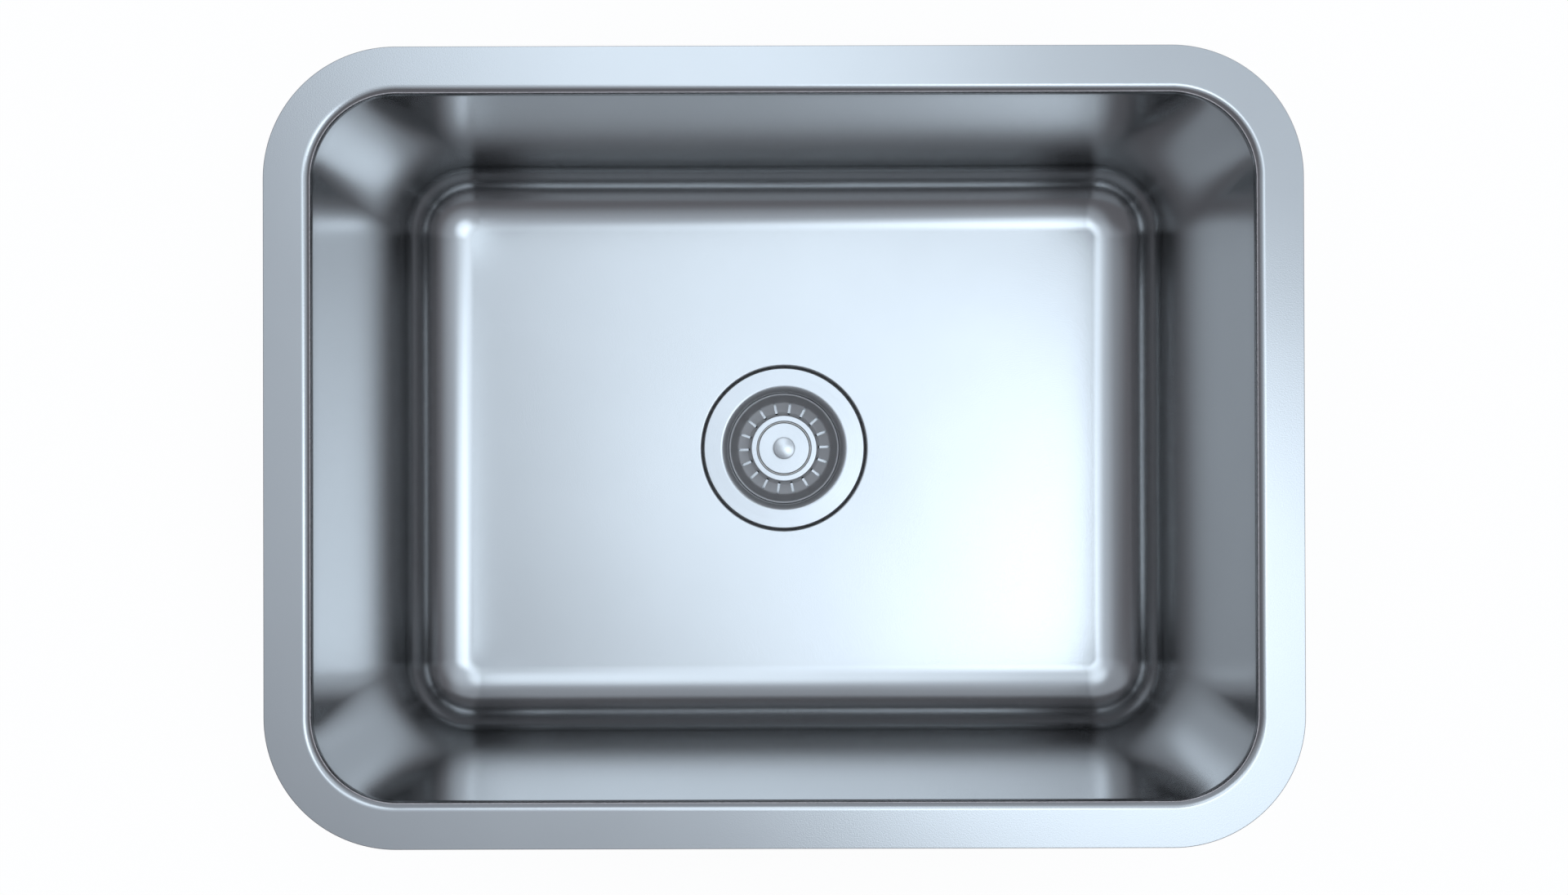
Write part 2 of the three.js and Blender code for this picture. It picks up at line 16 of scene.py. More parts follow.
import bmesh
import bpy
import numpy as np
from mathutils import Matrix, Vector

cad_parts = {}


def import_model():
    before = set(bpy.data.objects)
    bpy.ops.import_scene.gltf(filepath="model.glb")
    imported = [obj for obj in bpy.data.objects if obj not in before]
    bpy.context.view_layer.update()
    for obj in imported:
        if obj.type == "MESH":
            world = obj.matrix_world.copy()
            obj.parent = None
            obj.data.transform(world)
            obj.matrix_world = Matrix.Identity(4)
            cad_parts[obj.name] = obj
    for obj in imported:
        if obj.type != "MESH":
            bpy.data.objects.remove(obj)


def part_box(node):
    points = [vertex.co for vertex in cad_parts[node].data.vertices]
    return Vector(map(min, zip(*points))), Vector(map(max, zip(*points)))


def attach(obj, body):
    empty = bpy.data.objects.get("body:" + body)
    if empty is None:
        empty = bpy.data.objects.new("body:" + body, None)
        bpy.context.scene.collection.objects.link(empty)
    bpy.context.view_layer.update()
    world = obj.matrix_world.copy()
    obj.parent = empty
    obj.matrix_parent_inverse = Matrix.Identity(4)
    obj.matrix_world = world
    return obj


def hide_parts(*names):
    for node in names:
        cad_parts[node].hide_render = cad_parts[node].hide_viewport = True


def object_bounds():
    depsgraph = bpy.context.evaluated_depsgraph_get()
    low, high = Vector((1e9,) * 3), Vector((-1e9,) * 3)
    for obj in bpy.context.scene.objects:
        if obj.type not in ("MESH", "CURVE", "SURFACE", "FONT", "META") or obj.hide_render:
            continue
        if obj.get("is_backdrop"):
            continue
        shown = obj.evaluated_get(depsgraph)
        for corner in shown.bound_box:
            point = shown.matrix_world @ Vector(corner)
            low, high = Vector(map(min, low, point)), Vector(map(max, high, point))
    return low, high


log = logging.getLogger("laundry_sink")

MM = 0.001
QUARTER = math.pi / 2
ORIGIN = (0.0, 0.0)
HAIR = 0.01 * MM  # shorter than any real edge
HOLD = 0.25 * MM  # from a corner to the point that keeps its side flat
CREASE = 35.0  # degrees between faces from which an edge is left hard
SOFT_CREASE = 50.0  # the same for moulded edges
FACET = 0.28  # height of a small bend's middle facet, as a share of the bend's
SLOT_REACH = 2.4  # length of a screw slot's cutter, in radii of the head
MERGE = HAIR / 10  # points nearer than this are one
ROUNDING_SHARE = 0.45  # the most of a side that one corner's rounding takes
LEAST_CORNER = 0.6 * MM  # radius that the corners of an inner outline keep

Colour = tuple[float, float, float]


def arc(centre: tuple[float, float], radius: float, start: float, end: float, steps: int) -> np.ndarray:
    """An arc in a profile: centre plus radius times the cosine and sine of an angle.

    Args:
        centre: Radius and height of the arc's centre.
        radius: The arc's own radius.
        start: First angle in quarter turns from straight out.
        end: Last angle in quarter turns.
        steps: How many chords the arc has.

    Returns:
        Points of [radius, height], one more than the steps.
    """
    angle = np.linspace(start, end, steps + 1) * QUARTER
    return np.stack([centre[0] + radius * np.cos(angle), centre[1] + radius * np.sin(angle)], axis=1)


def path_of(*parts: Any) -> np.ndarray:
    """Single points and runs of points in one array, in order."""
    return np.concatenate([np.atleast_2d(np.asarray(part, float)) for part in parts])


def thicken(path: np.ndarray, thickness: float) -> np.ndarray:
    """The closed profile of a sheet: the path, and the path moved to its left by the sheet's thickness.

    Each point moves along the mean of the normals of the two chords it joins, by the thickness over
    the cosine of half their angle, so that the sheet keeps its gauge round a bend.

    Args:
        path: Points of the face that the path follows.
        thickness: The sheet's gauge.

    Returns:
        The closed profile, without its first point repeated.
    """
    run = np.diff(path, axis=0)
    normal = np.stack([-run[:, 1], run[:, 0]], axis=1) / np.linalg.norm(run, axis=1, keepdims=True)
    before = np.vstack([normal[:1], normal])
    after = np.vstack([normal, normal[-1:]])
    middle = before + after
    middle /= np.linalg.norm(middle, axis=1, keepdims=True)
    reach = thickness / np.sum(middle * after, axis=1, keepdims=True)
    return np.vstack([path, (path + middle * reach)[::-1]])


def soften(profile: np.ndarray, radius: float, steps: int = 4) -> np.ndarray:
    """Rounds each corner of a closed profile with a parabola that leaves its sides at the radius.

    A corner P between sides towards A and B becomes (1-t)(1-t) A' + 2 t (1-t) P + t t B', where A' and
    B' lie on the sides at the radius, or at under half the side if that is nearer. Points on the axis
    stay as they are.

    Args:
        profile: Points of a closed profile.
        radius: How far from the corner the rounding starts.
        steps: Chords in each rounding.

    Returns:
        The rounded closed profile.
    """
    share = np.linspace(0, 1, steps + 1)[None, :, None]
    ends = []
    for shift in (1, -1):
        side = np.roll(profile, shift, axis=0) - profile
        length = np.linalg.norm(side, axis=1, keepdims=True)
        ends.append((profile + side / length * np.minimum(radius, ROUNDING_SHARE * length))[:, None])
    corner = profile[:, None]
    rounded = (1 - share) ** 2 * ends[0] + 2 * share * (1 - share) * corner + share**2 * ends[1]
    on_axis = profile[:, 0] < HAIR
    rounded[on_axis] = corner[on_axis]
    kept = np.ones(rounded.shape[:2], bool)
    kept[on_axis, 1:] = False
    return rounded[kept]


def held(profile: np.ndarray) -> np.ndarray:
    """Adds points close to both ends of each long side of a closed profile.

    Smooth shading then turns only in the short stretches beside the corners, and the side stays flat.

    Args:
        profile: Points of a closed profile.

    Returns:
        The profile with the added points.
    """
    side = np.roll(profile, -1, axis=0) - profile
    length = np.linalg.norm(side, axis=1, keepdims=True)
    step = side / np.maximum(length, HAIR) * HOLD
    trio = np.stack([profile, profile + step, profile + side - step], axis=1)
    kept = np.ones(trio.shape[:2], bool)
    kept[:, 1:] = length > 4 * HOLD
    return trio[kept]


def inner_shares(count: int, length: float) -> np.ndarray:
    """Even shares between 0 and 1, with one more at the holding distance from each end.

    Args:
        count: How many even steps there are.
        length: The length that the shares divide.

    Returns:
        The shares, without 0 and 1.
    """
    guard = HOLD / length
    return np.concatenate([[guard], np.linspace(0, 1, count + 1)[1:-1], [1 - guard]])


def grid_faces(index: np.ndarray, closed_rows: bool) -> np.ndarray:
    """Four-cornered faces between the rows of a grid whose columns close on themselves.

    Args:
        index: Vertex numbers, one row for each ring.
        closed_rows: Whether the last row joins the first.

    Returns:
        Faces as rows of four vertex numbers. A triangle repeats one of them.
    """
    upper = np.roll(index, -1, axis=0)
    if not closed_rows:
        index, upper = index[:-1], upper[:-1]
    faces = np.stack([index, np.roll(index, -1, 1), np.roll(upper, -1, 1), upper], axis=-1)
    return faces.reshape(-1, 4)


def numbered(rings: np.ndarray) -> np.ndarray:
    """Vertex numbers for rings of points, one row for each ring."""
    return np.arange(rings.shape[0] * rings.shape[1]).reshape(rings.shape[:2])


def raised(flat: np.ndarray, heights: np.ndarray) -> np.ndarray:
    """Rings of flat points with one height for each ring."""
    return np.concatenate([flat, np.broadcast_to(heights[:, None, None], (*flat.shape[:2], 1))], axis=-1)


def strip_lid(ring: np.ndarray) -> np.ndarray:
    """Faces that close a ring whose outline is the same from end to end, in strips across it.

    Args:
        ring: Vertex numbers along the outline, an even number of them.

    Returns:
        Faces between each point and its partner on the other side.
    """
    half = len(ring) // 2
    near, far = ring[:half], ring[::-1][:half]
    return np.stack([near[:-1], far[:-1], far[1:], near[1:]], axis=-1)


def rounded_rectangles(
    length: float, width: float, corner: float, outsets: np.ndarray, side_steps: int, corner_steps: int = 36
) -> np.ndarray:
    """Rounded rectangles about the origin, at distances outside one of a given size.

    A point is (a (L - r) + b r, c (W - r) + d r), where L and W are the half sizes and r is the
    corner radius. On a corner's arc a and c are its signs and b and d the cosine and sine of the
    turn. Along a side one of them runs evenly from 1 to -1 and its partner is nought.

    Args:
        length: The given rectangle's size along X.
        width: Its size along Y.
        corner: Radius of its corners.
        outsets: Distances outside it, negative inside.
        side_steps: Even steps along each side.
        corner_steps: Chords in each corner.

    Returns:
        An array of outlines by points by two.
    """
    turn = np.linspace(0, QUARTER, corner_steps + 1)
    even = 1 - 2 * inner_shares(side_steps, width)
    flat, none = np.ones_like(even), np.zeros_like(even)
    parts = []
    for number, (side_x, side_y) in enumerate(((1, 1), (-1, 1), (-1, -1), (1, -1))):
        angle = turn + number * QUARTER
        ones = np.ones_like(angle)
        parts.append([side_x * ones, np.cos(angle), side_y * ones, np.sin(angle)])
        if number % 2 == 0:
            parts.append([side_x * even, none, side_y * flat, side_y * flat])
        else:
            parts.append([side_x * flat, side_x * flat, side_y * even, none])
    a, b, c, d = np.concatenate([np.array(part) for part in parts], axis=1)
    radius = np.maximum(corner + outsets, LEAST_CORNER)[:, None]
    half_length = (length / 2 + outsets)[:, None]
    half_width = (width / 2 + outsets)[:, None]
    x = a * (half_length - radius) + b * radius
    y = c * (half_width - radius) + d * radius
    return np.stack([x, y], axis=-1)


def about_z(turn: float) -> np.ndarray:
    """The matrix that turns rows of points about the Z axis, by radians."""
    cos, sin = math.cos(turn), math.sin(turn)
    return np.array([[cos, sin, 0], [-sin, cos, 0], [0, 0, 1]])


def signed_volume(vertices: np.ndarray, faces: np.ndarray) -> float:
    """Volume inside closed faces: a sum of a . (b x c) / 6 over the two triangles of each face.

    Args:
        vertices: The points.
        faces: Rows of four vertex numbers.

    Returns:
        The volume, negative if the faces point inwards.
    """
    total = 0.0
    for corners in ((0, 1, 2), (0, 2, 3)):
        a, b, c = (vertices[faces[:, corner]] for corner in corners)
        total += float(np.sum(a * np.cross(b, c)))
    return total / 6


def new_piece(name: str, vertices: np.ndarray, faces: np.ndarray, as_given: bool = False) -> bpy.types.Object:
    """A mesh object at the origin, with its place in its mesh and its faces pointing out.

    Args:
        name: The piece's name.
        vertices: Points in the frame, in metres.
        faces: Rows of four vertex numbers, where a triangle repeats one.
        as_given: Leaves the faces pointing as they do.

    Returns:
        The linked object.
    """
    if not as_given and signed_volume(vertices, faces) < 0:
        faces = faces[:, ::-1]
    distinct = [list(dict.fromkeys(face)) for face in faces.tolist()]
    mesh = bpy.data.meshes.new(name)
    mesh.from_pydata(vertices.tolist(), [], [face for face in distinct if len(face) > 2])
    work = bmesh.new()
    work.from_mesh(mesh)
    bmesh.ops.delete(work, geom=[v for v in work.verts if not v.link_faces], context="VERTS")
    work.to_mesh(mesh)
    work.free()
    piece = bpy.data.objects.new(name, mesh)
    bpy.context.scene.collection.objects.link(piece)
    return piece


def revolved(profile: np.ndarray, steps: int) -> tuple[np.ndarray, np.ndarray]:
    """A closed profile of [radius, height] turned about the Z axis.

    A point is (radius cos t, radius sin t, height) for the turn t. Points on the axis share one vertex.

    Args:
        profile: Points of the closed profile.
        steps: How many columns the turned surface has.

    Returns:
        Vertices and faces.
    """
    turn = np.arange(steps) * (2 * math.pi / steps)
    radius, height = profile[:, :1], profile[:, 1:]
    points = np.stack([radius * np.cos(turn), radius * np.sin(turn), height * np.ones(steps)], axis=-1)
    index = numbered(points)
    on_axis = profile[:, 0] < HAIR
    index[on_axis] = index[on_axis][:, :1]
    return points.reshape(-1, 3), grid_faces(index, closed_rows=True)


def turned_piece(name: str, profile: np.ndarray, steps: int) -> bpy.types.Object:
    """A piece made by turning a closed profile about the Z axis."""
    return new_piece(name, *revolved(held(profile), steps))


def prism(outline: np.ndarray, low: float, high: float) -> bpy.types.Object:
    """A closed cutter with the same outline from one height to another.

    Args:
        outline: An even number of points of [x, y], the same from end to end.
        low: Height of its bottom.
        high: Height of its top.

    Returns:
        The cutter.
    """
    count = len(outline)
    vertices = np.vstack([np.column_stack([outline, np.full(count, level)]) for level in (low, high)])
    near = np.arange(count)
    after, lid = np.roll(near, -1), strip_lid(near)
    sides = np.stack([near, after, after + count, near + count], axis=-1)
    return new_piece("cutter", vertices, np.vstack([sides, lid, lid[:, ::-1] + count]))


def slot_block(head_radius: float, width: float, level: float, depth: float) -> bpy.types.Object:
    """A long block across the axis that cuts a screw's slot, as deep on both sides of the head's face."""
    x, y = SLOT_REACH * head_radius / 2, width / 2
    return prism(np.array([[-x, -y], [x, -y], [x, y], [-x, y]]), level - depth, level + depth)


def ring_profile(inner: float, outer: float, bottom: float, top: float) -> np.ndarray:
    """The rectangle that a plain washer's section is, anticlockwise."""
    return np.array([[inner, bottom], [outer, bottom], [outer, top], [inner, top]])


def carve(piece: bpy.types.Object, cutters: Iterable[bpy.types.Object], adding: bool = False) -> None:
    """Cuts the cutters out of a piece, or adds them to it, and keeps the result as its mesh.

    Args:
        piece: The piece that is cut.
        cutters: Closed solids, which are used up.
        adding: Joins the solids to the piece instead.
    """
    used = list(cutters)
    for cutter in used:
        step = piece.modifiers.new("carve", "BOOLEAN")
        step.operation = "UNION" if adding else "DIFFERENCE"
        step.solver = "EXACT"
        step.object = cutter
    graph = bpy.context.evaluated_depsgraph_get()
    carved = bpy.data.meshes.new_from_object(piece.evaluated_get(graph))
    piece.modifiers.clear()
    piece.data = carved
    for cutter in used:
        bpy.data.objects.remove(cutter)


def shade(piece: bpy.types.Object, crease_degrees: float) -> None:
    """Smooth shading, but with a hard edge where two faces meet at more than the crease angle.

    Args:
        piece: The piece, whose doubled points are merged first.
        crease_degrees: The crease angle.
    """
    work = bmesh.new()
    work.from_mesh(piece.data)
    bmesh.ops.remove_doubles(work, verts=work.verts, dist=MERGE)
    bmesh.ops.dissolve_degenerate(work, edges=work.edges, dist=MERGE)
    for face in work.faces:
        face.smooth = True
    for edge in work.edges:
        edge.smooth = edge.calc_face_angle(0.0) < math.radians(crease_degrees)
    work.to_mesh(piece.data)
    work.free()


def number_faces(piece: bpy.types.Object, choose: Callable[[np.ndarray, np.ndarray], np.ndarray]) -> None:
    """Gives each face of a turned piece the number of its finish.

    Args:
        piece: The piece, with its finishes in place.
        choose: Numbers from the distances of the faces' middles from the axis and their heights.
    """
    faces = piece.data.polygons
    middle = np.empty(3 * len(faces))
    faces.foreach_get("center", middle)
    x, y, height = middle.reshape(-1, 3).T
    faces.foreach_set("material_index", choose(np.hypot(x, y), height).astype(np.int32))


class Slot(Enum):
    """The record's material slots."""

    BOWL_STEEL = "bowl_steel"
    WASTE_STEEL = "waste_steel"
    CHROME = "chrome"
    BRASS = "brass"
    BLACK_RUBBER = "black_rubber"
    PAD_RUBBER = "pad_rubber"
    WHITE_PLASTIC = "white_plastic"
    DARK_PLASTIC = "dark_plastic"


class Body(Enum):
    """The frame's moving bodies."""

    ROOT = "root"
    BASKET = "basket"
    PLUG = "plug"


def place(
    piece: bpy.types.Object,
    body: Body,
    node: str,
    slot: Slot,
    *finishes: bpy.types.Material,
    crease: float = CREASE,
) -> None:
    """Shades and dresses a finished piece and hangs it on its body in place of its plain solid.

    Args:
        piece: The finished piece.
        body: The body that it moves with.
        node: The solid that it stands for.
        slot: Not used.
        finishes: Its materials, in the order of its faces' material numbers.
        crease: Degrees between faces from which an edge is left hard.
    """
    shade(piece, crease)
    piece.data.materials.clear()
    for finish in finishes:
        piece.data.materials.append(finish)
    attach(piece, body.value)
    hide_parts(node)
    log.info("%s: %d faces, on %s for %s", piece.name, len(piece.data.polygons), body.value, node)


class Tree:
    """A node tree that is filled one node at a time."""

    def __init__(self, owner: bpy.types.Material | bpy.types.World) -> None:
        """Empties the owner's tree and keeps it.

        Args:
            owner: The material or the world whose tree it is.
        """
        owner.use_nodes = True
        self.tree = owner.node_tree
        self.tree.nodes.clear()

    def add(self, kind: str, inputs: dict[Any, Any] | None = None, **settings: Any) -> bpy.types.Node:
        """Adds a node.

        Args:
            kind: The node's type.
            inputs: Values, or other nodes' output sockets, by the name or number of the input.
            settings: The node's own attributes.

        Returns:
            The new node.
        """
        node = self.tree.nodes.new(kind)
        for attribute, value in settings.items():
            setattr(node, attribute, value)
        for name, value in (inputs or {}).items():
            if isinstance(value, bpy.types.NodeSocket):
                self.tree.links.new(value, node.inputs[name])
            else:
                node.inputs[name].default_value = value
        return node

    def math(self, operation: str, *values: Any) -> bpy.types.NodeSocket:
        """The result of a Math node on numbers or sockets."""
        return self.add("ShaderNodeMath", dict(enumerate(values)), operation=operation).outputs[0]

    def vector(self, operation: str, *values: Any) -> bpy.types.Node:
        """A Vector Math node on vectors or sockets."""
        return self.add("ShaderNodeVectorMath", dict(enumerate(values)), operation=operation)

    def noise(self, where: Any, scale: float, detail: float = 4.0) -> bpy.types.NodeSocket:
        """Noise from 0 to 1 at a place, with a scale in features a unit."""
        inputs = {"Vector": where, "Scale": scale, "Detail": detail}
        return self.add("ShaderNodeTexNoise", inputs).outputs["Fac"]

    def spread(
        self, value: Any, low: float, high: float, start: float = 0.0, end: float = 1.0, smooth: bool = False
    ) -> bpy.types.NodeSocket:
        """A value spread evenly, or by a smooth step, over another range.

        Args:
            value: The socket of the value.
            low: The result at the start.
            high: The result at the end.
            start: The value at which the result is low.
            end: The value at which it is high.
            smooth: Makes the change a smooth step.

        Returns:
            The socket of the result.
        """
        inputs = {
            "Value": value,
            "From Min": start,
            "From Max": end,
            "To Min": low,
            "To Max": high,
        }
        style = "SMOOTHSTEP" if smooth else "LINEAR"
        return self.add("ShaderNodeMapRange", inputs, interpolation_type=style).outputs[0]

    def mix(self, share: Any, first: Colour, second: Colour) -> bpy.types.NodeSocket:
        """A colour between two colours.

        Args:
            share: The socket of the second colour's share.
            first: The colour at 0.
            second: The colour at 1.

        Returns:
            The socket of the colour.
        """
        node = self.add("ShaderNodeMix", data_type="RGBA")
        sockets = {socket.identifier: socket for socket in node.inputs}
        sockets["A_Color"].default_value = (*first, 1.0)
        sockets["B_Color"].default_value = (*second, 1.0)
        self.tree.links.new(share, sockets["Factor_Float"])
        return next(s for s in node.outputs if s.identifier == "Result_Color")


def scaled(colour: Colour, share: float) -> Colour:
    """A colour with each of its three parts times a share."""
    return tuple(part * share for part in colour)


@dataclass(frozen=True)
class Finish:
    """A surface with a fine grain that shows in its gloss and in its relief, and a faint change of colour.

    The defaults are satin steel's. Turned grain runs in rings about the waste's axis.
    """

    name: str
    colour: Colour
    roughness: float
    metallic: float = 1.0
    turned: bool = False
    grain_size: float = 0.7 * MM
    grain_relief: float = 0.022 * MM
    grain_detail: float = 3.0
    roughness_spread: float = 0.06
    cloud_size: float = 60 * MM
    cloud_share: float = 0.03
    cloud_detail: float = 3.0

    def grain_place(self, tree: Tree, where: bpy.types.NodeSocket) -> bpy.types.NodeSocket:
        """The place at which the grain's noise is read, one unit to each grain.

        Turned grain is read at the distance from the axis and the height, so that it is the same all
        the way round.

        Args:
            tree: The material's tree.
            where: The place on the piece.

        Returns:
            The socket of the grain's place.
        """
        fine = 1 / self.grain_size
        if not self.turned:
            return tree.vector("MULTIPLY", where, (fine, fine, fine)).outputs[0]
        flat = tree.vector("MULTIPLY", where, (1.0, 1.0, 0.0)).outputs[0]
        radius = tree.vector("LENGTH", flat).outputs["Value"]
        height = tree.add("ShaderNodeSeparateXYZ", {0: where}).outputs["Z"]
        inputs = {"X": tree.math("MULTIPLY", radius, fine), "Y": tree.math("MULTIPLY", height, fine)}
        return tree.add("ShaderNodeCombineXYZ", inputs).outputs[0]

    def material(self) -> bpy.types.Material:
        """The finish as a material: clouds change its colour, and grain its roughness and its relief.

        Returns:
            The new material.
        """
        made = bpy.data.materials.new(self.name)
        tree = Tree(made)
        where = tree.add("ShaderNodeTexCoord").outputs["Object"]
        clouds = tree.noise(where, 1 / self.cloud_size, self.cloud_detail)
        grain = tree.noise(self.grain_place(tree, where), 1.0, self.grain_detail)
        dark, light = scaled(self.colour, 1 - self.cloud_share), scaled(self.colour, 1 + self.cloud_share)
        spread = self.roughness_spread
        relief = tree.add("ShaderNodeBump", {"Height": grain, "Distance": self.grain_relief, "Strength": 1.0})
        shader = tree.add("ShaderNodeBsdfPrincipled", {
            "Base Color": tree.mix(clouds, dark, light),
            "Metallic": self.metallic,
            "Roughness": tree.spread(grain, self.roughness - spread, self.roughness + spread),
            "Normal": relief.outputs[0],
        })
        tree.add("ShaderNodeOutputMaterial", {"Surface": shader.outputs[0]})
        return made


@dataclass(frozen=True)
class Finishes:
    """Every finish of the sink, each made once."""

    pressed_steel: bpy.types.Material
    raw_steel: bpy.types.Material
    waste_steel: bpy.types.Material
    dull_steel: bpy.types.Material
    bright_steel: bpy.types.Material
    knob_chrome: bpy.types.Material
    brass: bpy.types.Material
    black_rubber: bpy.types.Material
    pad_rubber: bpy.types.Material
    white_plastic: bpy.types.Material
    dark_plastic: bpy.types.Material

    @classmethod
    def make(cls) -> "Finishes":
        """The finishes with the colours and gloss that the object shows.

        Returns:
            The finishes, made in the order of the fields.
        """
        steel = (0.64, 0.65, 0.655)
        turned = {"turned": True, "grain_size": 0.25 * MM, "cloud_size": 25 * MM}
        moulded = {
            "metallic": 0.0,
            "grain_size": 1.2 * MM,
            "grain_relief": 0.03 * MM,
            "roughness_spread": 0.05,
            "cloud_size": 40 * MM,
            "cloud_share": 0.08,
            "cloud_detail": 4.0,
        }
        padding = moulded | {"grain_size": 2.2 * MM, "grain_relief": 0.2 * MM}
        finishes = (
            Finish("pressed_steel", steel, 0.18),
            Finish("raw_steel", scaled(steel, 0.92), 0.34, roughness_spread=0.08),
            Finish("waste_steel", (0.63, 0.64, 0.65), 0.17, **turned),
            Finish("dull_steel", (0.68, 0.67, 0.67), 0.62, **turned),
            Finish("bright_steel", (0.66, 0.68, 0.69), 0.1, **turned),
            Finish("knob_chrome", (0.68, 0.69, 0.7), 0.2, **turned),
            Finish("turned_brass", (0.62, 0.44, 0.17), 0.28, **turned),
            Finish("black_rubber", (0.018, 0.019, 0.021), 0.62, **moulded),
            Finish("pad_rubber", (0.075, 0.079, 0.084), 0.8, **padding),
            Finish("white_plastic", (0.78, 0.79, 0.79), 0.38, **moulded),
            Finish("dark_plastic", (0.045, 0.048, 0.052), 0.42, **moulded),
        )
        return cls(*(finish.material() for finish in finishes))


@dataclass(frozen=True)
class Softbox:
    """A round soft lamp far overhead: full strength inside the core, fading to none at the edge."""

    right_degrees: float
    back_degrees: float
    core_degrees: float
    edge_degrees: float
    strength: float

    def direction(self) -> tuple[float, float, float]:
        """The direction of (tan right, tan back, 1), from how far the lamp leans right and back.

        Returns:
            The unit vector towards the lamp.
        """
        right = math.tan(math.radians(self.right_degrees))
        back = math.tan(math.radians(self.back_degrees))
        length = math.sqrt(right**2 + back**2 + 1)
        return (right / length, back / length, 1 / length)


@dataclass
class Studio:
    """The pale floor, the soft light overhead and the camera that looks straight down."""

    camera_height: float = 811.7 * MM  # above the flange
    camera_forward: float = 3.05 * MM  # the lens is this far in front of the waste's axis
    camera_tilt: float = 0.00337  # radians towards the back
    camera_roll: float = -0.0026
    lens: float = 35.0
    sensor: float = 36.0
    floor_half: float = 40.0
    floor_glow: float = 0.88  # share of the floor's look that is plain white
    floor_white: float = 1.03  # strength of that white
    room_colour: Colour = (0.9, 0.9, 1.0)
    room_strength: float = 0.17
    horizon: tuple[float, float] = (0.04, 0.2)  # rise, as a sine, over which the room dims
    floor_paint: float = 0.95
    lamp_colour: Colour = (0.765, 0.885, 1.0)
    lamps: tuple[Softbox, ...] = (
        Softbox(14.5, -8.0, 0.0, 16.2, 1.21),
        Softbox(-4.7, 18.8, 0.0, 16.5, 0.72),
        Softbox(3.25, -0.2, 0.0, 13.1, 0.72),
        Softbox(-10.6, 34.7, 30.0, 57.0, 0.26),
        Softbox(13.8, -1.3, 15.4, 49.5, 0.4),
    )
    fill_power: float = 26.0
    fill_height: float = 2.2
    fill_size: float = 2.4

    def build_camera(self) -> None:
        """A camera above the bowl, with the top of its picture towards the back."""
        data = bpy.data.cameras.new("camera")
        data.lens = self.lens
        data.sensor_width = self.sensor
        camera = bpy.data.objects.new("camera", data)
        camera.location = (0.0, -self.camera_forward, self.camera_height)
        camera.rotation_euler = (self.camera_tilt, 0.0, self.camera_roll)
        bpy.context.scene.collection.objects.link(camera)
        bpy.context.scene.camera = camera

    def build_floor(self, height: float) -> None:
        """A wide pale floor under the object, seen from above only.

        Args:
            height: Where the floor lies.
        """
        half = self.floor_half
        corners = np.array([[-half, -half], [half, -half], [half, half], [-half, half]])
        vertices = np.column_stack([corners, np.full(4, height)])
        floor = new_piece("studio_floor", vertices, np.array([[0, 1, 2, 3]]), as_given=True)
        made = bpy.data.materials.new("studio_floor")
        tree = Tree(made)
        rays = tree.add("ShaderNodeLightPath").outputs
        seen = tree.math("MAXIMUM", rays["Is Camera Ray"], rays["Is Glossy Ray"])
        seen = tree.math("MAXIMUM", seen, rays["Is Transmission Ray"])
        paint = tree.add("ShaderNodeBsdfDiffuse", {"Color": (*(self.floor_paint,) * 3, 1.0)})
        white = tree.add("ShaderNodeEmission", {"Strength": self.floor_white})
        share = tree.math("MULTIPLY", seen, self.floor_glow)
        top = tree.add("ShaderNodeMixShader", {0: share, 1: paint.outputs[0], 2: white.outputs[0]})
        under = tree.add("ShaderNodeBsdfTransparent")
        behind = tree.add("ShaderNodeNewGeometry").outputs["Backfacing"]
        both = tree.add("ShaderNodeMixShader", {0: behind, 1: top.outputs[0], 2: under.outputs[0]})
        tree.add("ShaderNodeOutputMaterial", {"Surface": both.outputs[0]})
        floor.data.materials.append(made)
        floor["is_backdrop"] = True

    def build_light(self) -> None:
        """A studio that is pale round the horizon, dim above it and lit by soft lamps overhead.

        The room's strength in a direction is a ramp on its height. Each lamp's is a smooth step on the
        cosine of the angle between the direction and the lamp, and the lamps are cooler than the room.
        """
        world = bpy.data.worlds.new("studio")
        bpy.context.scene.world = world
        tree = Tree(world)
        towards = tree.add("ShaderNodeTexCoord").outputs["Generated"]
        height = tree.add("ShaderNodeSeparateXYZ", {0: towards}).outputs["Z"]
        low, high = self.horizon
        horizon = tree.spread(height, 1.0, self.room_strength, smooth=True, start=low, end=high)
        room = tree.add("ShaderNodeBackground", {"Color": (*self.room_colour, 1.0), "Strength": horizon})
        total: Any = 0.0
        for lamp in self.lamps:
            facing = tree.vector("DOT_PRODUCT", towards, lamp.direction()).outputs["Value"]
            edge, core = math.cos(math.radians(lamp.edge_degrees)), math.cos(math.radians(lamp.core_degrees))
            glow = tree.spread(facing, 0.0, lamp.strength, smooth=True, start=edge, end=core)
            total = tree.math("ADD", total, glow)
        lit = tree.add("ShaderNodeBackground", {"Color": (*self.lamp_colour, 1.0), "Strength": total})
        both = tree.add("ShaderNodeAddShader", {0: room.outputs[0], 1: lit.outputs[0]})
        tree.add("ShaderNodeOutputWorld", {"Surface": both.outputs[0]})

    def build_fill(self) -> None:
        """A wide lamp straight overhead that lifts the matt pieces and leaves no glint."""
        data = bpy.data.lights.new("fill", "AREA")
        data.shape = "DISK"
        data.size = self.fill_size
        data.energy = self.fill_power
        lamp = bpy.data.objects.new("fill", data)
        lamp.location = (0.0, 0.0, self.fill_height)
        lamp.visible_camera = False
        lamp.visible_glossy = False
        bpy.context.scene.collection.objects.link(lamp)

    def build(self, floor_height: float) -> None:
        """Makes the camera, the floor and the light, and sets plain colours.

        Args:
            floor_height: Where the floor lies.
        """
        bpy.context.scene.view_settings.view_transform = "Standard"
        self.build_camera()
        self.build_floor(floor_height)
        self.build_light()
        self.build_fill()
        log.info("studio: floor at %.4f m", floor_height)


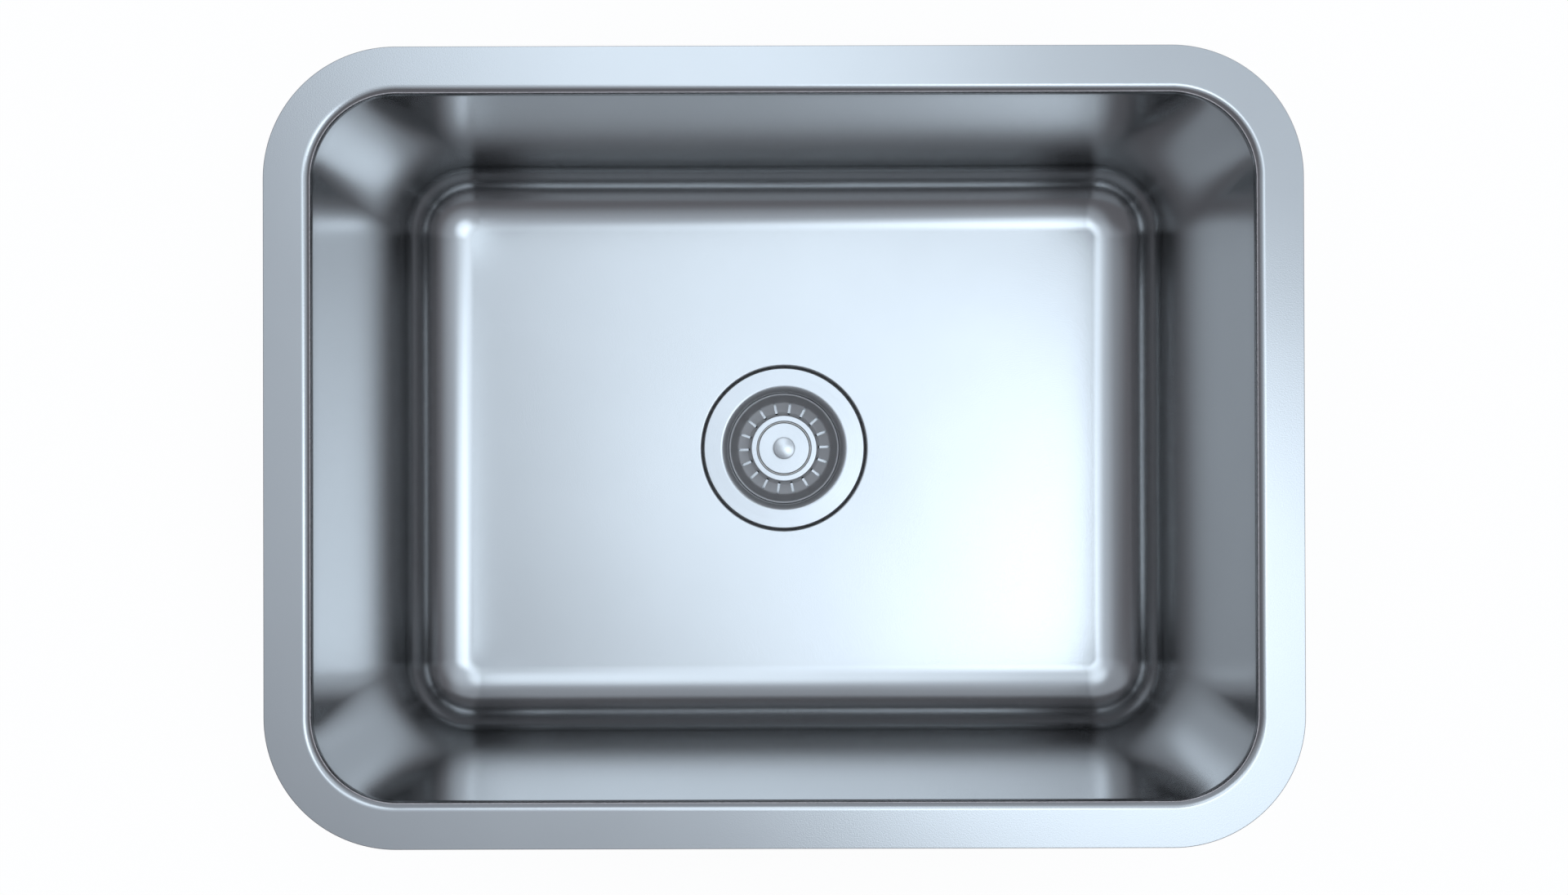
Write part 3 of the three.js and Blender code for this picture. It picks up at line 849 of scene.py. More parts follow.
@dataclass
class Bowl:
    """The pressed bowl: flange, rolled rim, drawn walls, bottom radius, floor and the waste's recess."""

    finishes: Finishes
    length: float = 504 * MM  # between the walls, at their top
    width: float = 377 * MM
    depth: float = 240 * MM  # to the floor beside the waste
    sheet: float = 1.2 * MM
    flange: float = 25.5 * MM
    corner: float = 45 * MM
    rim: float = 5 * MM
    bottom: float = 38 * MM
    draft: float = 1.5 * MM
    fall: float = 3 * MM  # of the floor, towards the waste
    recess_radius: float = 56.4 * MM
    recess_edge: float = 1.6 * MM
    recess_corner: float = 1.5 * MM
    recess_rows: int = 9  # faces from the hole to the recess's wall, which stay dull
    recess_depth: float = 4.1 * MM
    hole_radius: float = 45 * MM
    edge_round: float = 0.35 * MM
    side_steps: int = 36
    recess_corner_steps: int = 6
    recess_edge_steps: int = 8
    floor_steps: int = 25
    bottom_steps: int = 44
    wall_steps: int = 21
    rim_steps: int = 18
    flange_steps: int = 5
    edge_steps: int = 4

    def outlines(self, outsets: np.ndarray) -> np.ndarray:
        """The bowl's outlines at distances outside the top of its walls."""
        return rounded_rectangles(self.length, self.width, self.corner, outsets, self.side_steps)

    def foot(self) -> np.ndarray:
        """The outline where the floor ends and the bottom radius starts."""
        return self.outlines(np.array([-self.draft - self.bottom]))

    def circles(self, radii: np.ndarray) -> np.ndarray:
        """Circles about the waste, each point in the direction of the foot's point of that number."""
        foot = self.foot()
        return radii[:, None, None] * foot / np.linalg.norm(foot, axis=-1, keepdims=True)

    def floor_height(self, flat: np.ndarray) -> np.ndarray:
        """Height of the floor at places: a shallow cone about the waste's axis.

        It stands the fall times u above the edge of the recess, where u runs evenly from 0 there to 1
        at the middle of the end walls' foot.

        Args:
            flat: Places, with x and y on the last axis.

        Returns:
            Heights of the floor's upper face.
        """
        inner = self.recess_radius + self.recess_edge
        reach = self.length / 2 - self.draft - self.bottom - inner
        return self.fall * (np.linalg.norm(flat, axis=-1) - inner) / reach - self.depth

    def face(self, skin: float) -> np.ndarray:
        """One face of the sheet as rings of points, from the sink hole out to the flange's edge.

        The recess is turned about the waste, the floor is a cone from the recess's circle to the foot,
        and the rest is the wall's section carried round the bowl's outline. The bottom radius follows
        the cone up and down, and the wall takes up the difference evenly.

        Args:
            skin: Nought for the face that holds the water, the sheet's thickness for the outer one.

        Returns:
            An array of rings by points by three.
        """
        low, corner = -self.recess_depth, self.recess_corner
        recess = path_of(
            (self.hole_radius, low - skin),
            (self.recess_radius - corner - HOLD, low - skin),
            arc((self.recess_radius - corner, corner + low), corner + skin, -1, 0, self.recess_corner_steps),
            arc((self.recess_radius + self.recess_edge, -self.recess_edge), self.recess_edge - skin, 2, 1,
                self.recess_edge_steps),
        )
        inset = -self.draft - self.bottom
        circle = self.circles(np.array([self.recess_radius + self.recess_edge]))
        share = inner_shares(self.floor_steps, self.width / 2 + inset - self.recess_radius)[:, None, None]
        floor_flat = circle + (self.foot() - circle) * share
        floor = np.concatenate([floor_flat, self.floor_height(floor_flat)[..., None] - skin], axis=-1)
        bend = (inset, self.fall + self.bottom - self.depth)
        lower = arc(bend, self.bottom + skin, -1, 0, self.bottom_steps)
        upper = arc((self.rim, -self.rim), self.rim - skin, 2, 1, self.rim_steps)
        climb = np.linspace(0, 1, self.wall_steps + 1)[1:-1, None]
        wall = lower[-1] + (upper[0] - lower[-1]) * climb
        across = inner_shares(self.flange_steps, self.flange - self.rim)[:, None]
        edge = np.array([self.flange - self.edge_round, -skin])
        flange = upper[-1] + (edge - upper[-1]) * across
        section = path_of(lower, wall, upper, flange, edge)
        sides = raised(self.outlines(section[:, 0]), section[:, 1])
        sink = self.floor_height(self.foot()) - (self.fall - self.depth)
        still = np.zeros(len(upper) + len(flange) + 1)
        follow = np.concatenate([np.ones(len(lower)), 1 - climb[:, 0], still])
        sides[..., 2] += follow[:, None] * sink
        return np.concatenate([raised(self.circles(recess[:, 0]), recess[:, 1] - self.depth), floor, sides])

    def edge(self) -> np.ndarray:
        """The flange's outer edge from its top to its underside: two quarter arcs carried round it.

        Returns:
            An array of rings by points by three, without the rings that the two faces end on.
        """
        middle, radius, steps = self.flange - self.edge_round, self.edge_round, self.edge_steps
        rounds = path_of(
            arc((middle, -radius), radius, 1, 0, steps)[1:],
            arc((middle, radius - self.sheet), radius, 0, -1, steps)[:-1],
        )
        return raised(self.outlines(rounds[:, 0]), rounds[:, 1])

    def build(self) -> None:
        """Makes the bowl's sheet: satin inside, duller outside, and dull under the strainer's flange."""
        inner, edge, outer = self.face(0.0), self.edge(), self.face(self.sheet)[::-1]
        rings = np.concatenate([inner, edge, outer])
        piece = new_piece("bowl_sheet", rings.reshape(-1, 3), grid_faces(numbered(rings), closed_rows=True))
        finishes = self.finishes
        place(piece, Body.ROOT, "bowl_shell", Slot.BOWL_STEEL,
              finishes.pressed_steel, finishes.raw_steel, finishes.dull_steel)
        around = rings.shape[1]
        seen = (len(inner) + len(edge)) * around
        number = (np.arange(len(piece.data.polygons)) >= seen).astype(np.int32)
        number[:self.recess_rows * around] = 2  # the third finish
        piece.data.polygons.foreach_set("material_index", number)


@dataclass
class SoundPads:
    """The rubber sheets glued outside the walls and under the floor."""

    finishes: Finishes
    bowl: Bowl
    thickness: float = 2.5 * MM
    glue: float = 0.6 * MM
    corner: float = 12 * MM
    edge_round: float = 0.8 * MM
    long_length: float = 320 * MM
    short_length: float = 210 * MM
    height: float = 120 * MM
    lid_share: float = 0.98  # how much of the corner's radius the flat faces are inside the edge
    edge_steps: int = 4
    side_steps: int = 8
    inner_share: float = 0.16
    outer_share: float = 0.84
    floor_rings: int = 10

    def wall_pad(self, name: str, node: str, quarter_turns: int, length: float, distance: float) -> None:
        """A rounded rectangle of rubber on one wall, leaning with the wall's draft.

        Its outlines lie flat, one above the other. They are tipped up about X, moved out to the wall and
        turned about Z. Strips close the innermost outline of each flat face.

        Args:
            name: The piece's name.
            node: The solid that it stands for.
            quarter_turns: How far the pad for the front wall is turned about Z.
            length: The pad's length along the wall.
            distance: From the middle of the bowl to the top of the wall, inside.
        """
        rounding = arc(ORIGIN, self.edge_round, 1, 0, self.edge_steps) - (self.edge_round, self.edge_round)
        lid = [-self.corner * self.lid_share]
        inset = np.concatenate([lid, rounding[:, 0], rounding[::-1, 0], lid])
        rise = np.concatenate([[self.thickness], self.thickness + rounding[:, 1], -rounding[::-1, 1], [0.0]])
        outlines = rounded_rectangles(length, self.height, self.corner, inset, self.side_steps)
        points = raised(outlines, rise)
        index = numbered(points)
        lids = [strip_lid(index[0]), strip_lid(index[-1])[:, ::-1]]
        bowl = self.bowl
        wall_height = bowl.depth - bowl.fall - bowl.rim - bowl.bottom
        tilt = QUARTER + math.atan(bowl.draft / wall_height)
        cos, sin = math.cos(tilt), math.sin(tilt)
        lean = np.array([[1, 0, 0], [0, cos, sin], [0, -sin, cos]])
        out = bowl.draft / 2 - distance - bowl.sheet - self.glue
        where = np.array([0.0, out, -bowl.rim - wall_height / 2])
        placed = (points.reshape(-1, 3) @ lean + where) @ about_z(quarter_turns * QUARTER)
        piece = new_piece(name, placed, np.vstack([grid_faces(index, closed_rows=False), *lids]))
        place(piece, Body.ROOT, node, Slot.PAD_RUBBER, self.finishes.pad_rubber, crease=SOFT_CREASE)

    def floor_pad(self) -> None:
        """A ring of rubber under the floor, between two shares of the way out to the walls.

        Its top follows the floor's cone, and its underside is that less the thickness, softened at both
        edges.
        """
        bowl = self.bowl
        circle = bowl.circles(np.array([bowl.recess_radius + bowl.recess_edge]))
        foot = bowl.foot()
        share = np.linspace(self.inner_share, self.outer_share, self.floor_rings)
        flat = circle + (foot - circle) * share[:, None, None]
        top = bowl.floor_height(flat) - bowl.sheet - self.glue
        upper = np.concatenate([flat, top[..., None]], axis=-1)
        soft = np.zeros((len(share), 1, 1))
        soft[[0, -1]] = self.edge_round
        lower = upper.copy()
        lower[..., 2:] -= self.thickness - soft
        points = np.concatenate([upper, lower[::-1]])
        faces = grid_faces(numbered(points), closed_rows=True)
        piece = new_piece("floor_pad_sheet", points.reshape(-1, 3), faces)
        place(piece, Body.ROOT, "floor_pad", Slot.PAD_RUBBER, self.finishes.pad_rubber)

    def build(self) -> None:
        """Makes the pads under the floor and on the four walls."""
        self.floor_pad()
        spans = ((self.long_length, self.bowl.width / 2), (self.short_length, self.bowl.length / 2))
        for turns, side in enumerate(("front", "right", "back", "left")):
            self.wall_pad(f"{side}_pad_sheet", f"wall_pad_{side}", turns, *spans[turns % 2])


@dataclass
class Drain:
    """The fixed half of the waste: strainer flange, gaskets, moulded body, insert and clamp screw."""

    finishes: Finishes
    sheet: float = 0.8 * MM
    seat_gap: float = 0.3 * MM
    flange_radius: float = 55 * MM
    edge_radius: float = 0.3 * MM
    edge_depth: float = 1.2 * MM
    throat_radius: float = 39.8 * MM
    throat_edge: float = 3.8 * MM
    throat_taper: float = 0.2 * MM
    bright_depth: float = 0.2 * MM  # below the flange the throat is left dull
    seat_depth: float = 10.6 * MM
    seat_width: float = 1.4 * MM
    dish_taper: float = 1.2 * MM
    dish_depth: float = 34.7 * MM
    dish_fillet: float = 3 * MM
    hole_count: int = 8
    hole_radius: float = 4.4 * MM
    hole_pitch_radius: float = 14.4 * MM
    dimple_radius: float = 8.4 * MM
    dimple_taper: float = 1.6 * MM
    dimple_depth: float = 3.2 * MM
    dimple_bend: float = 1 * MM  # along the dimple's floor, half as high
    brim_width: float = 0.6 * MM  # of the bend from the dimple into the drain floor, half as high
    seat_bend: float = 0.4 * MM
    seat_corner: float = 0.3 * MM
    dish_steps: int = 8
    throat_steps: int = 10
    edge_steps: int = 6
    cutter_steps: int = 40
    gasket_round: float = 0.5 * MM
    gasket_width: float = 7.5 * MM
    body_clearance: float = 3.4 * MM
    body_wall: float = 3 * MM
    body_rim_width: float = 9 * MM
    body_rim_thickness: float = 6 * MM
    cup_depth: float = 31 * MM
    funnel_depth: float = 15 * MM
    outlet_radius: float = 23.9 * MM
    outlet_wall: float = 3.9 * MM
    thread_pitch: float = 2.31 * MM
    thread_depth: float = 1.3 * MM
    thread_sharpness: float = 1.5
    thread_gap: float = 1 * MM  # from the thread's end to the funnel
    thread_rows: int = 120
    body_round: float = 0.8 * MM
    hub_round: float = 0.6 * MM
    hub_radius: float = 8.6 * MM
    hub_length: float = 19 * MM
    rib_count: int = 4
    rib_thickness: float = 3 * MM
    rib_drop: float = 3 * MM
    rib_height: float = 14 * MM
    screw_radius: float = 3 * MM
    screw_head_radius: float = 5.6 * MM
    screw_head_height: float = 2.6 * MM
    screw_chamfer: float = 0.4 * MM
    crown_points: int = 7
    slot_width: float = 1.4 * MM
    slot_depth: float = 1.3 * MM
    insert_radius: float = 5.6 * MM
    insert_length: float = 9 * MM
    insert_round: float = 0.3 * MM
    round_steps: int = 160
    small_steps: int = 48

    def __post_init__(self) -> None:
        """Reads the waste's level off the frame and works out the heights that hang from it."""
        self.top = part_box("strainer_flange")[1].z
        self.drain_floor = self.top - self.dish_depth
        self.dimple_floor = self.drain_floor - self.dimple_depth
        self.body_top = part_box("waste_body")[1].z
        self.body_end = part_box("waste_body")[0].z
        self.hub_top = self.dimple_floor - self.sheet - self.seat_gap
        self.hub_bottom = self.hub_top - self.hub_length
        self.cup_radius = self.throat_radius + self.sheet + self.body_clearance

    def cylinder(
        self, radius: float, bottom: float, top: float, x: float = 0.0, y: float = 0.0
    ) -> bpy.types.Object:
        """A round cutter that stands at a place.

        Args:
            radius: Its radius.
            bottom: Height of its bottom.
            top: Height of its top.
            x: Its axis, to the right.
            y: Its axis, to the back.

        Returns:
            The cutter.
        """
        profile = np.array([[0, bottom], [radius, bottom], [radius, top], [0, top]])
        vertices, faces = revolved(profile, self.cutter_steps)
        return new_piece("cutter", vertices + (x, y, 0.0), faces)

    def strainer(self) -> None:
        """The stainless dish: flat flange, rounded throat, the basket's seat and the drilled floor."""
        seat_outer = self.throat_radius - self.throat_taper
        seat_inner = seat_outer - self.seat_width
        wall_foot = seat_inner - self.dish_taper
        seat = self.top - self.seat_depth
        dimple = self.dimple_radius - self.dimple_taper
        throat, edge, fillet = self.throat_edge, self.edge_radius, self.dish_fillet
        rim = self.flange_radius - edge
        path = path_of(
            (self.screw_radius + self.seat_gap, self.dimple_floor),
            (dimple - self.dimple_bend, self.dimple_floor),
            (dimple, self.dimple_floor + self.dimple_bend / 2),
            (self.dimple_radius, self.drain_floor - self.brim_width / 2),
            (self.dimple_radius + self.brim_width, self.drain_floor),
            arc((wall_foot - fillet, self.drain_floor + fillet), fillet, -1, 0, self.dish_steps),
            (seat_inner, seat - self.seat_bend),
            (seat_inner + self.seat_bend, seat),
            (seat_outer - self.seat_corner, seat),
            (seat_outer, seat + self.seat_corner),
            arc((self.throat_radius + throat, self.top - throat), throat, 2, 1, self.throat_steps),
            (self.throat_radius + throat + HOLD, self.top),
            (rim - HOLD, self.top),
            arc((rim, self.top - edge), edge, 1, 0, self.edge_steps),
            (self.flange_radius, self.top - self.edge_depth),
        )
        piece = turned_piece("strainer_dish", thicken(path[::-1], self.sheet), self.round_steps)
        low, high = self.drain_floor - 2 * self.sheet, self.drain_floor + self.sheet
        turns = np.arange(self.hole_count) * (2 * math.pi / self.hole_count)
        places = self.hole_pitch_radius * np.stack([np.cos(turns), np.sin(turns)], axis=-1)
        carve(piece, [self.cylinder(self.hole_radius, low, high, x, y) for x, y in places])
        bright, dull = self.finishes.waste_steel, self.finishes.dull_steel
        place(piece, Body.ROOT, "strainer_flange", Slot.WASTE_STEEL, bright, dull)
        foot, dull_top = wall_foot - fillet, self.top - self.bright_depth
        number_faces(piece, lambda distance, height: (distance > foot) & (height < dull_top))

    def gaskets(self) -> None:
        """The bedding gasket under the strainer's flange and the one between bowl and body."""
        for name, node in (("bedding_ring", "flange_gasket"), ("body_ring", "body_gasket")):
            low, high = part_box(node)
            bore = self.cup_radius if node == "body_gasket" else high.x - self.gasket_width
            profile = soften(ring_profile(bore, high.x, low.z, high.z), self.gasket_round)
            piece = turned_piece(name, profile, self.round_steps)
            place(piece, Body.ROOT, node, Slot.BLACK_RUBBER, self.finishes.black_rubber, crease=SOFT_CREASE)

    def thread(self, vertices: np.ndarray, low: float, high: float, radius: float) -> np.ndarray:
        """Cuts a helical thread into the outer face of a turned solid.

        The radius drops by the thread's depth times a rounded wave of height over pitch less turns,
        and the thread fades out over one pitch at each end.

        Args:
            vertices: Points of the turned solid.
            low: Where the thread starts.
            high: Where it ends.
            radius: The face that is cut.

        Returns:
            The moved points.
        """
        distance = np.hypot(vertices[:, 0], vertices[:, 1])
        turns = np.arctan2(vertices[:, 1], vertices[:, 0]) / (2 * math.pi)
        wave = 0.5 - 0.5 * np.cos(2 * math.pi * (vertices[:, 2] / self.thread_pitch - turns))
        near_end = np.minimum(vertices[:, 2] - low, high - vertices[:, 2]) / self.thread_pitch
        cut = self.thread_depth * wave**self.thread_sharpness * np.clip(near_end, 0, 1)
        cut *= distance > radius - HAIR
        moved = vertices.copy()
        moved[:, :2] *= ((distance - cut) / np.maximum(distance, HAIR))[:, None]
        return moved

    def body(self) -> None:
        """The moulded body: clamping rim, cup, funnel, threaded outlet, and a hub held by four ribs."""
        outer_cup = self.cup_radius + self.body_wall
        bore = self.outlet_radius - self.outlet_wall
        cup_bottom = self.body_top - self.cup_depth
        funnel_bottom = cup_bottom - self.funnel_depth
        rows = np.linspace(self.body_end, funnel_bottom - self.body_wall - self.thread_gap, self.thread_rows)
        clamp_bottom = self.body_top - self.body_rim_thickness
        plain = soften(path_of(
            (self.cup_radius, self.body_top),
            (self.cup_radius, cup_bottom),
            (bore, funnel_bottom),
            (bore, self.body_end),
            (self.outlet_radius, self.body_end),
            (self.outlet_radius, funnel_bottom - self.body_wall),
            (outer_cup, cup_bottom - self.body_wall),
            (outer_cup, clamp_bottom),
            (outer_cup + self.body_rim_width, clamp_bottom),
            (outer_cup + self.body_rim_width, self.body_top),
        ), self.body_round)
        threaded = np.column_stack([np.full_like(rows, self.outlet_radius), rows])
        start = int(np.argmax(plain[:, 1] < self.body_end + HAIR))
        after_start = np.arange(len(plain)) > start
        bottom = int(np.flatnonzero((plain[:, 0] > self.outlet_radius - HAIR) & after_start)[0])
        profile = np.vstack([plain[:bottom + 1], threaded[rows > plain[bottom, 1]], plain[bottom + 1:]])
        vertices, faces = revolved(held(profile), self.round_steps)
        vertices = self.thread(vertices, self.body_end, rows[-1], self.outlet_radius)
        piece = new_piece("moulded_body", vertices, faces)
        hub = ring_profile(0, self.hub_radius, self.hub_bottom, self.hub_top)
        additions = [turned_piece("hub", soften(hub, self.hub_round), self.small_steps)]
        for number in range(self.rib_count):
            additions.append(self.rib((number + 0.5) * 2 * math.pi / self.rib_count))
        carve(piece, additions, adding=True)
        clear, under = self.seat_gap, self.hub_bottom - self.sheet
        carve(piece, [
            self.cylinder(self.screw_radius + clear, under, self.hub_top + self.sheet),
            self.cylinder(self.insert_radius + clear, under, self.hub_bottom + self.insert_length + clear),
        ])
        place(piece, Body.ROOT, "waste_body", Slot.WHITE_PLASTIC, self.finishes.white_plastic)

    def rib(self, turn: float) -> bpy.types.Object:
        """A rib from the hub out into the body's wall, following the funnel down.

        Args:
            turn: The rib's direction about Z, in radians.

        Returns:
            The rib as a closed solid.
        """
        cup_bottom = self.body_top - self.cup_depth
        funnel_bottom = cup_bottom - self.funnel_depth
        top = self.hub_top - self.rib_drop
        heights = np.array([top - self.rib_height, funnel_bottom, top])
        bore = self.outlet_radius - self.outlet_wall
        wall = np.interp(heights, [funnel_bottom, cup_bottom], [bore, self.cup_radius]) + self.body_wall / 2
        inner = self.hub_radius / 2
        outline = path_of((inner, heights[0]), np.column_stack([wall, heights]), (inner, top))
        half = self.rib_thickness / 2
        points = np.concatenate([
            np.column_stack([outline[:, 0], np.full(len(outline), side), outline[:, 1]])
            for side in (-half, half)
        ]) @ about_z(turn)
        count = len(outline)
        near, far = np.arange(count), np.arange(count) + count
        sides = np.stack([near, np.roll(near, -1), np.roll(far, -1), far], axis=-1)
        lids = np.array([[3, 2, 1, 0], [4, 3, 0, 0], [5, 6, 7, 8], [5, 8, 9, 9]])  # both faces of five points
        return new_piece("rib", points, np.vstack([sides, lids]))

    def insert(self) -> None:
        """The turned brass insert that the clamp screw pulls up."""
        bore = self.screw_radius + self.seat_gap
        top = self.hub_bottom + self.insert_length
        profile = soften(ring_profile(bore, self.insert_radius, self.hub_bottom, top), self.insert_round)
        piece = turned_piece("brass_insert", profile, self.small_steps)
        place(piece, Body.ROOT, "thread_insert", Slot.BRASS, self.finishes.brass)

    def clamp_screw(self) -> None:
        """The screw in the strainer's dimple, with a raised slotted head."""
        bottom, head_bottom = self.hub_bottom, self.dimple_floor + self.seat_gap
        head_top = head_bottom + self.screw_head_height
        crown = self.screw_head_height / 2
        rise = np.linspace(0, QUARTER, self.crown_points)
        dome = np.column_stack([
            self.screw_head_radius * np.cos(rise), head_top - crown + crown * np.sin(rise)])
        dome[-1, 0] = 0.0
        profile = path_of(
            (0, bottom),
            (self.screw_radius - self.screw_chamfer, bottom),
            (self.screw_radius, bottom + self.screw_chamfer),
            (self.screw_radius, head_bottom),
            (self.screw_head_radius, head_bottom),
            dome,
        )
        piece = turned_piece("slotted_screw", profile, self.small_steps)
        carve(piece, [slot_block(self.screw_head_radius, self.slot_width, head_top, self.slot_depth)])
        place(piece, Body.ROOT, "clamp_screw", Slot.CHROME, self.finishes.knob_chrome)

    def build(self) -> None:
        """Makes every fixed piece of the waste."""
        self.strainer()
        self.gaskets()
        self.body()
        self.insert()
        self.clamp_screw()


@dataclass
class Basket:
    """The lift-out basket: slotted cup, the bush that guides the plug, and its grip ring."""

    finishes: Finishes
    sheet: float = 0.7 * MM
    seat_gap: float = 0.3 * MM
    bead_radius: float = 1.3 * MM  # the rim is curled over into a bead
    bead_start: float = 0.2  # quarter turns from its side
    bead_steps: int = 16
    depth: float = 11.8 * MM
    taper: float = 3.9 * MM
    foot_radius: float = 1.4 * MM
    band_width: float = 7.3 * MM
    band_fall: float = 2.3 * MM
    boss_height: float = 9.1 * MM
    boss_taper: float = 1.8 * MM
    boss_edge: float = 1 * MM
    boss_rim_width: float = 4.7 * MM
    boss_lip_depth: float = 1.2 * MM
    edge_steps: int = 6
    lip_steps: int = 4
    slot_end_steps: int = 10
    slot_count: int = 18
    slot_width: float = 1.9 * MM
    slot_inset: float = 1.3 * MM  # into the foot of the boss
    slot_margin: float = 0.2 * MM  # short of the foot of the wall
    cut_overrun: float = 2 * MM
    first_slot_degrees: float = 2.0
    bush_round: float = 0.1 * MM
    piston_radius: float = 17.8 * MM
    piston_clearance: float = 0.5 * MM
    collar_gap: float = 0.1 * MM  # from the bush's thin collar to the boss's lip round it
    collar_wall: float = 0.5 * MM
    collar_depth: float = 0.15 * MM
    ring_section: float = 0.7 * MM
    ring_steps: int = 16
    round_steps: int = 180

    def __post_init__(self) -> None:
        """Reads the basket's rim off the frame and works out the radii and heights inside it."""
        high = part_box("basket_cup")[1]
        self.radius, self.top = high.x, high.z
        self.crown = self.radius - self.bead_radius
        self.mouth = self.crown - self.bead_radius
        self.band_outer = self.mouth - self.taper
        self.band_inner = self.band_outer - self.band_width
        self.band_outer_height = self.top - self.depth
        self.band_inner_height = self.band_outer_height - self.band_fall
        self.boss_radius = self.band_inner - self.boss_taper
        self.boss_mouth = self.boss_radius - self.boss_rim_width
        self.boss_top = self.band_inner_height + self.boss_height

    def slot_cutter(self, turn: float) -> bpy.types.Object:
        """A radial slot with round ends as a closed solid.

        The outline is a straight run along each side and a half circle at each end.

        Args:
            turn: The slot's direction about Z, in radians.

        Returns:
            The cutter.
        """
        start = self.band_inner - self.slot_inset + self.slot_width / 2
        end = self.band_outer - self.slot_margin - self.slot_width / 2
        half = self.slot_width / 2
        steps = self.slot_end_steps
        outline = path_of(arc((end, 0.0), half, -1, 1, steps), arc((start, 0.0), half, 1, 3, steps))
        low = self.band_inner_height - self.sheet - self.cut_overrun
        high = self.band_outer_height + self.sheet + self.cut_overrun
        return prism(outline @ about_z(turn)[:2, :2], low, high)

    def cup(self) -> None:
        """The slotted cup: beaded rim, sloping wall, slotted band and the boss that holds the plug."""
        crown, foot, edge, sheet = self.crown, self.foot_radius, self.boss_edge, self.sheet
        outer, inner = self.band_outer, self.band_inner
        path = path_of(
            arc((crown, self.top - self.bead_radius), self.bead_radius, self.bead_start, 2, self.bead_steps),
            (outer + foot / 2, self.band_outer_height + foot),
            (outer, self.band_outer_height + foot * FACET),
            (outer - foot / 2, self.band_outer_height),
            (inner + edge / 2, self.band_inner_height),
            (inner, self.band_inner_height + edge * FACET),
            (inner - edge / 2, self.band_inner_height + edge),
            arc((self.boss_radius - edge, self.boss_top - edge), edge, 0, 1, self.edge_steps),
            arc((self.boss_mouth + sheet, self.boss_top - sheet), sheet, 1, 2, self.lip_steps),
            (self.boss_mouth, self.boss_top - self.boss_lip_depth),
        )
        piece = turned_piece("slotted_cup", thicken(path, sheet), self.round_steps)
        step = 2 * math.pi / self.slot_count
        first = math.radians(self.first_slot_degrees)
        carve(piece, [self.slot_cutter(first + number * step) for number in range(self.slot_count)])
        bright, dull = self.finishes.waste_steel, self.finishes.dull_steel
        place(piece, Body.BASKET, "basket_cup", Slot.WASTE_STEEL, bright, dull)
        boss, bead = self.boss_radius - edge / 2, crown + self.bead_radius / 5
        number_faces(piece, lambda distance, height: (distance > boss) & (distance < bead))

    def bush(self) -> None:
        """The white bush under the boss: a thin collar in its mouth and a groove for the grip ring."""
        low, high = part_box("basket_bush")
        ring_low, ring_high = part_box("grip_ring")
        bore = self.piston_radius + self.piston_clearance
        lip_seat = self.boss_top - self.boss_lip_depth - self.seat_gap
        lip_outer = self.boss_mouth + self.sheet + 2 * self.seat_gap
        collar = self.boss_mouth - self.collar_gap
        collar_top = self.boss_top - self.collar_depth
        profile = soften(path_of(
            (bore, low.z),
            (high.x, low.z),
            (high.x, high.z),
            (lip_outer, high.z),
            (lip_outer, lip_seat),
            (collar, lip_seat),
            (collar, collar_top),
            (collar - self.collar_wall, collar_top),
            (collar - self.collar_wall, lip_seat - self.collar_depth),
            (bore, lip_seat - self.collar_depth),
            (bore, ring_high.z + self.seat_gap),
            (ring_high.x + self.seat_gap, ring_high.z + self.seat_gap),
            (ring_high.x + self.seat_gap, ring_low.z - self.seat_gap),
            (bore, ring_low.z - self.seat_gap),
        ), self.bush_round)
        piece = turned_piece("guide_bush", profile, self.round_steps)
        place(piece, Body.BASKET, "basket_bush", Slot.WHITE_PLASTIC, self.finishes.white_plastic)

    def grip_ring(self) -> None:
        """The rubber ring in the bush's groove."""
        low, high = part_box("grip_ring")
        middle = (high.x - self.ring_section, (low.z + high.z) / 2)
        profile = arc(middle, self.ring_section, 0, 4, self.ring_steps)[1:]
        piece = turned_piece("plug_grip", profile, self.round_steps)
        place(piece, Body.BASKET, "grip_ring", Slot.BLACK_RUBBER, self.finishes.black_rubber)

    def build(self) -> None:
        """Makes the basket's pieces."""
        self.cup()
        self.bush()
        self.grip_ring()


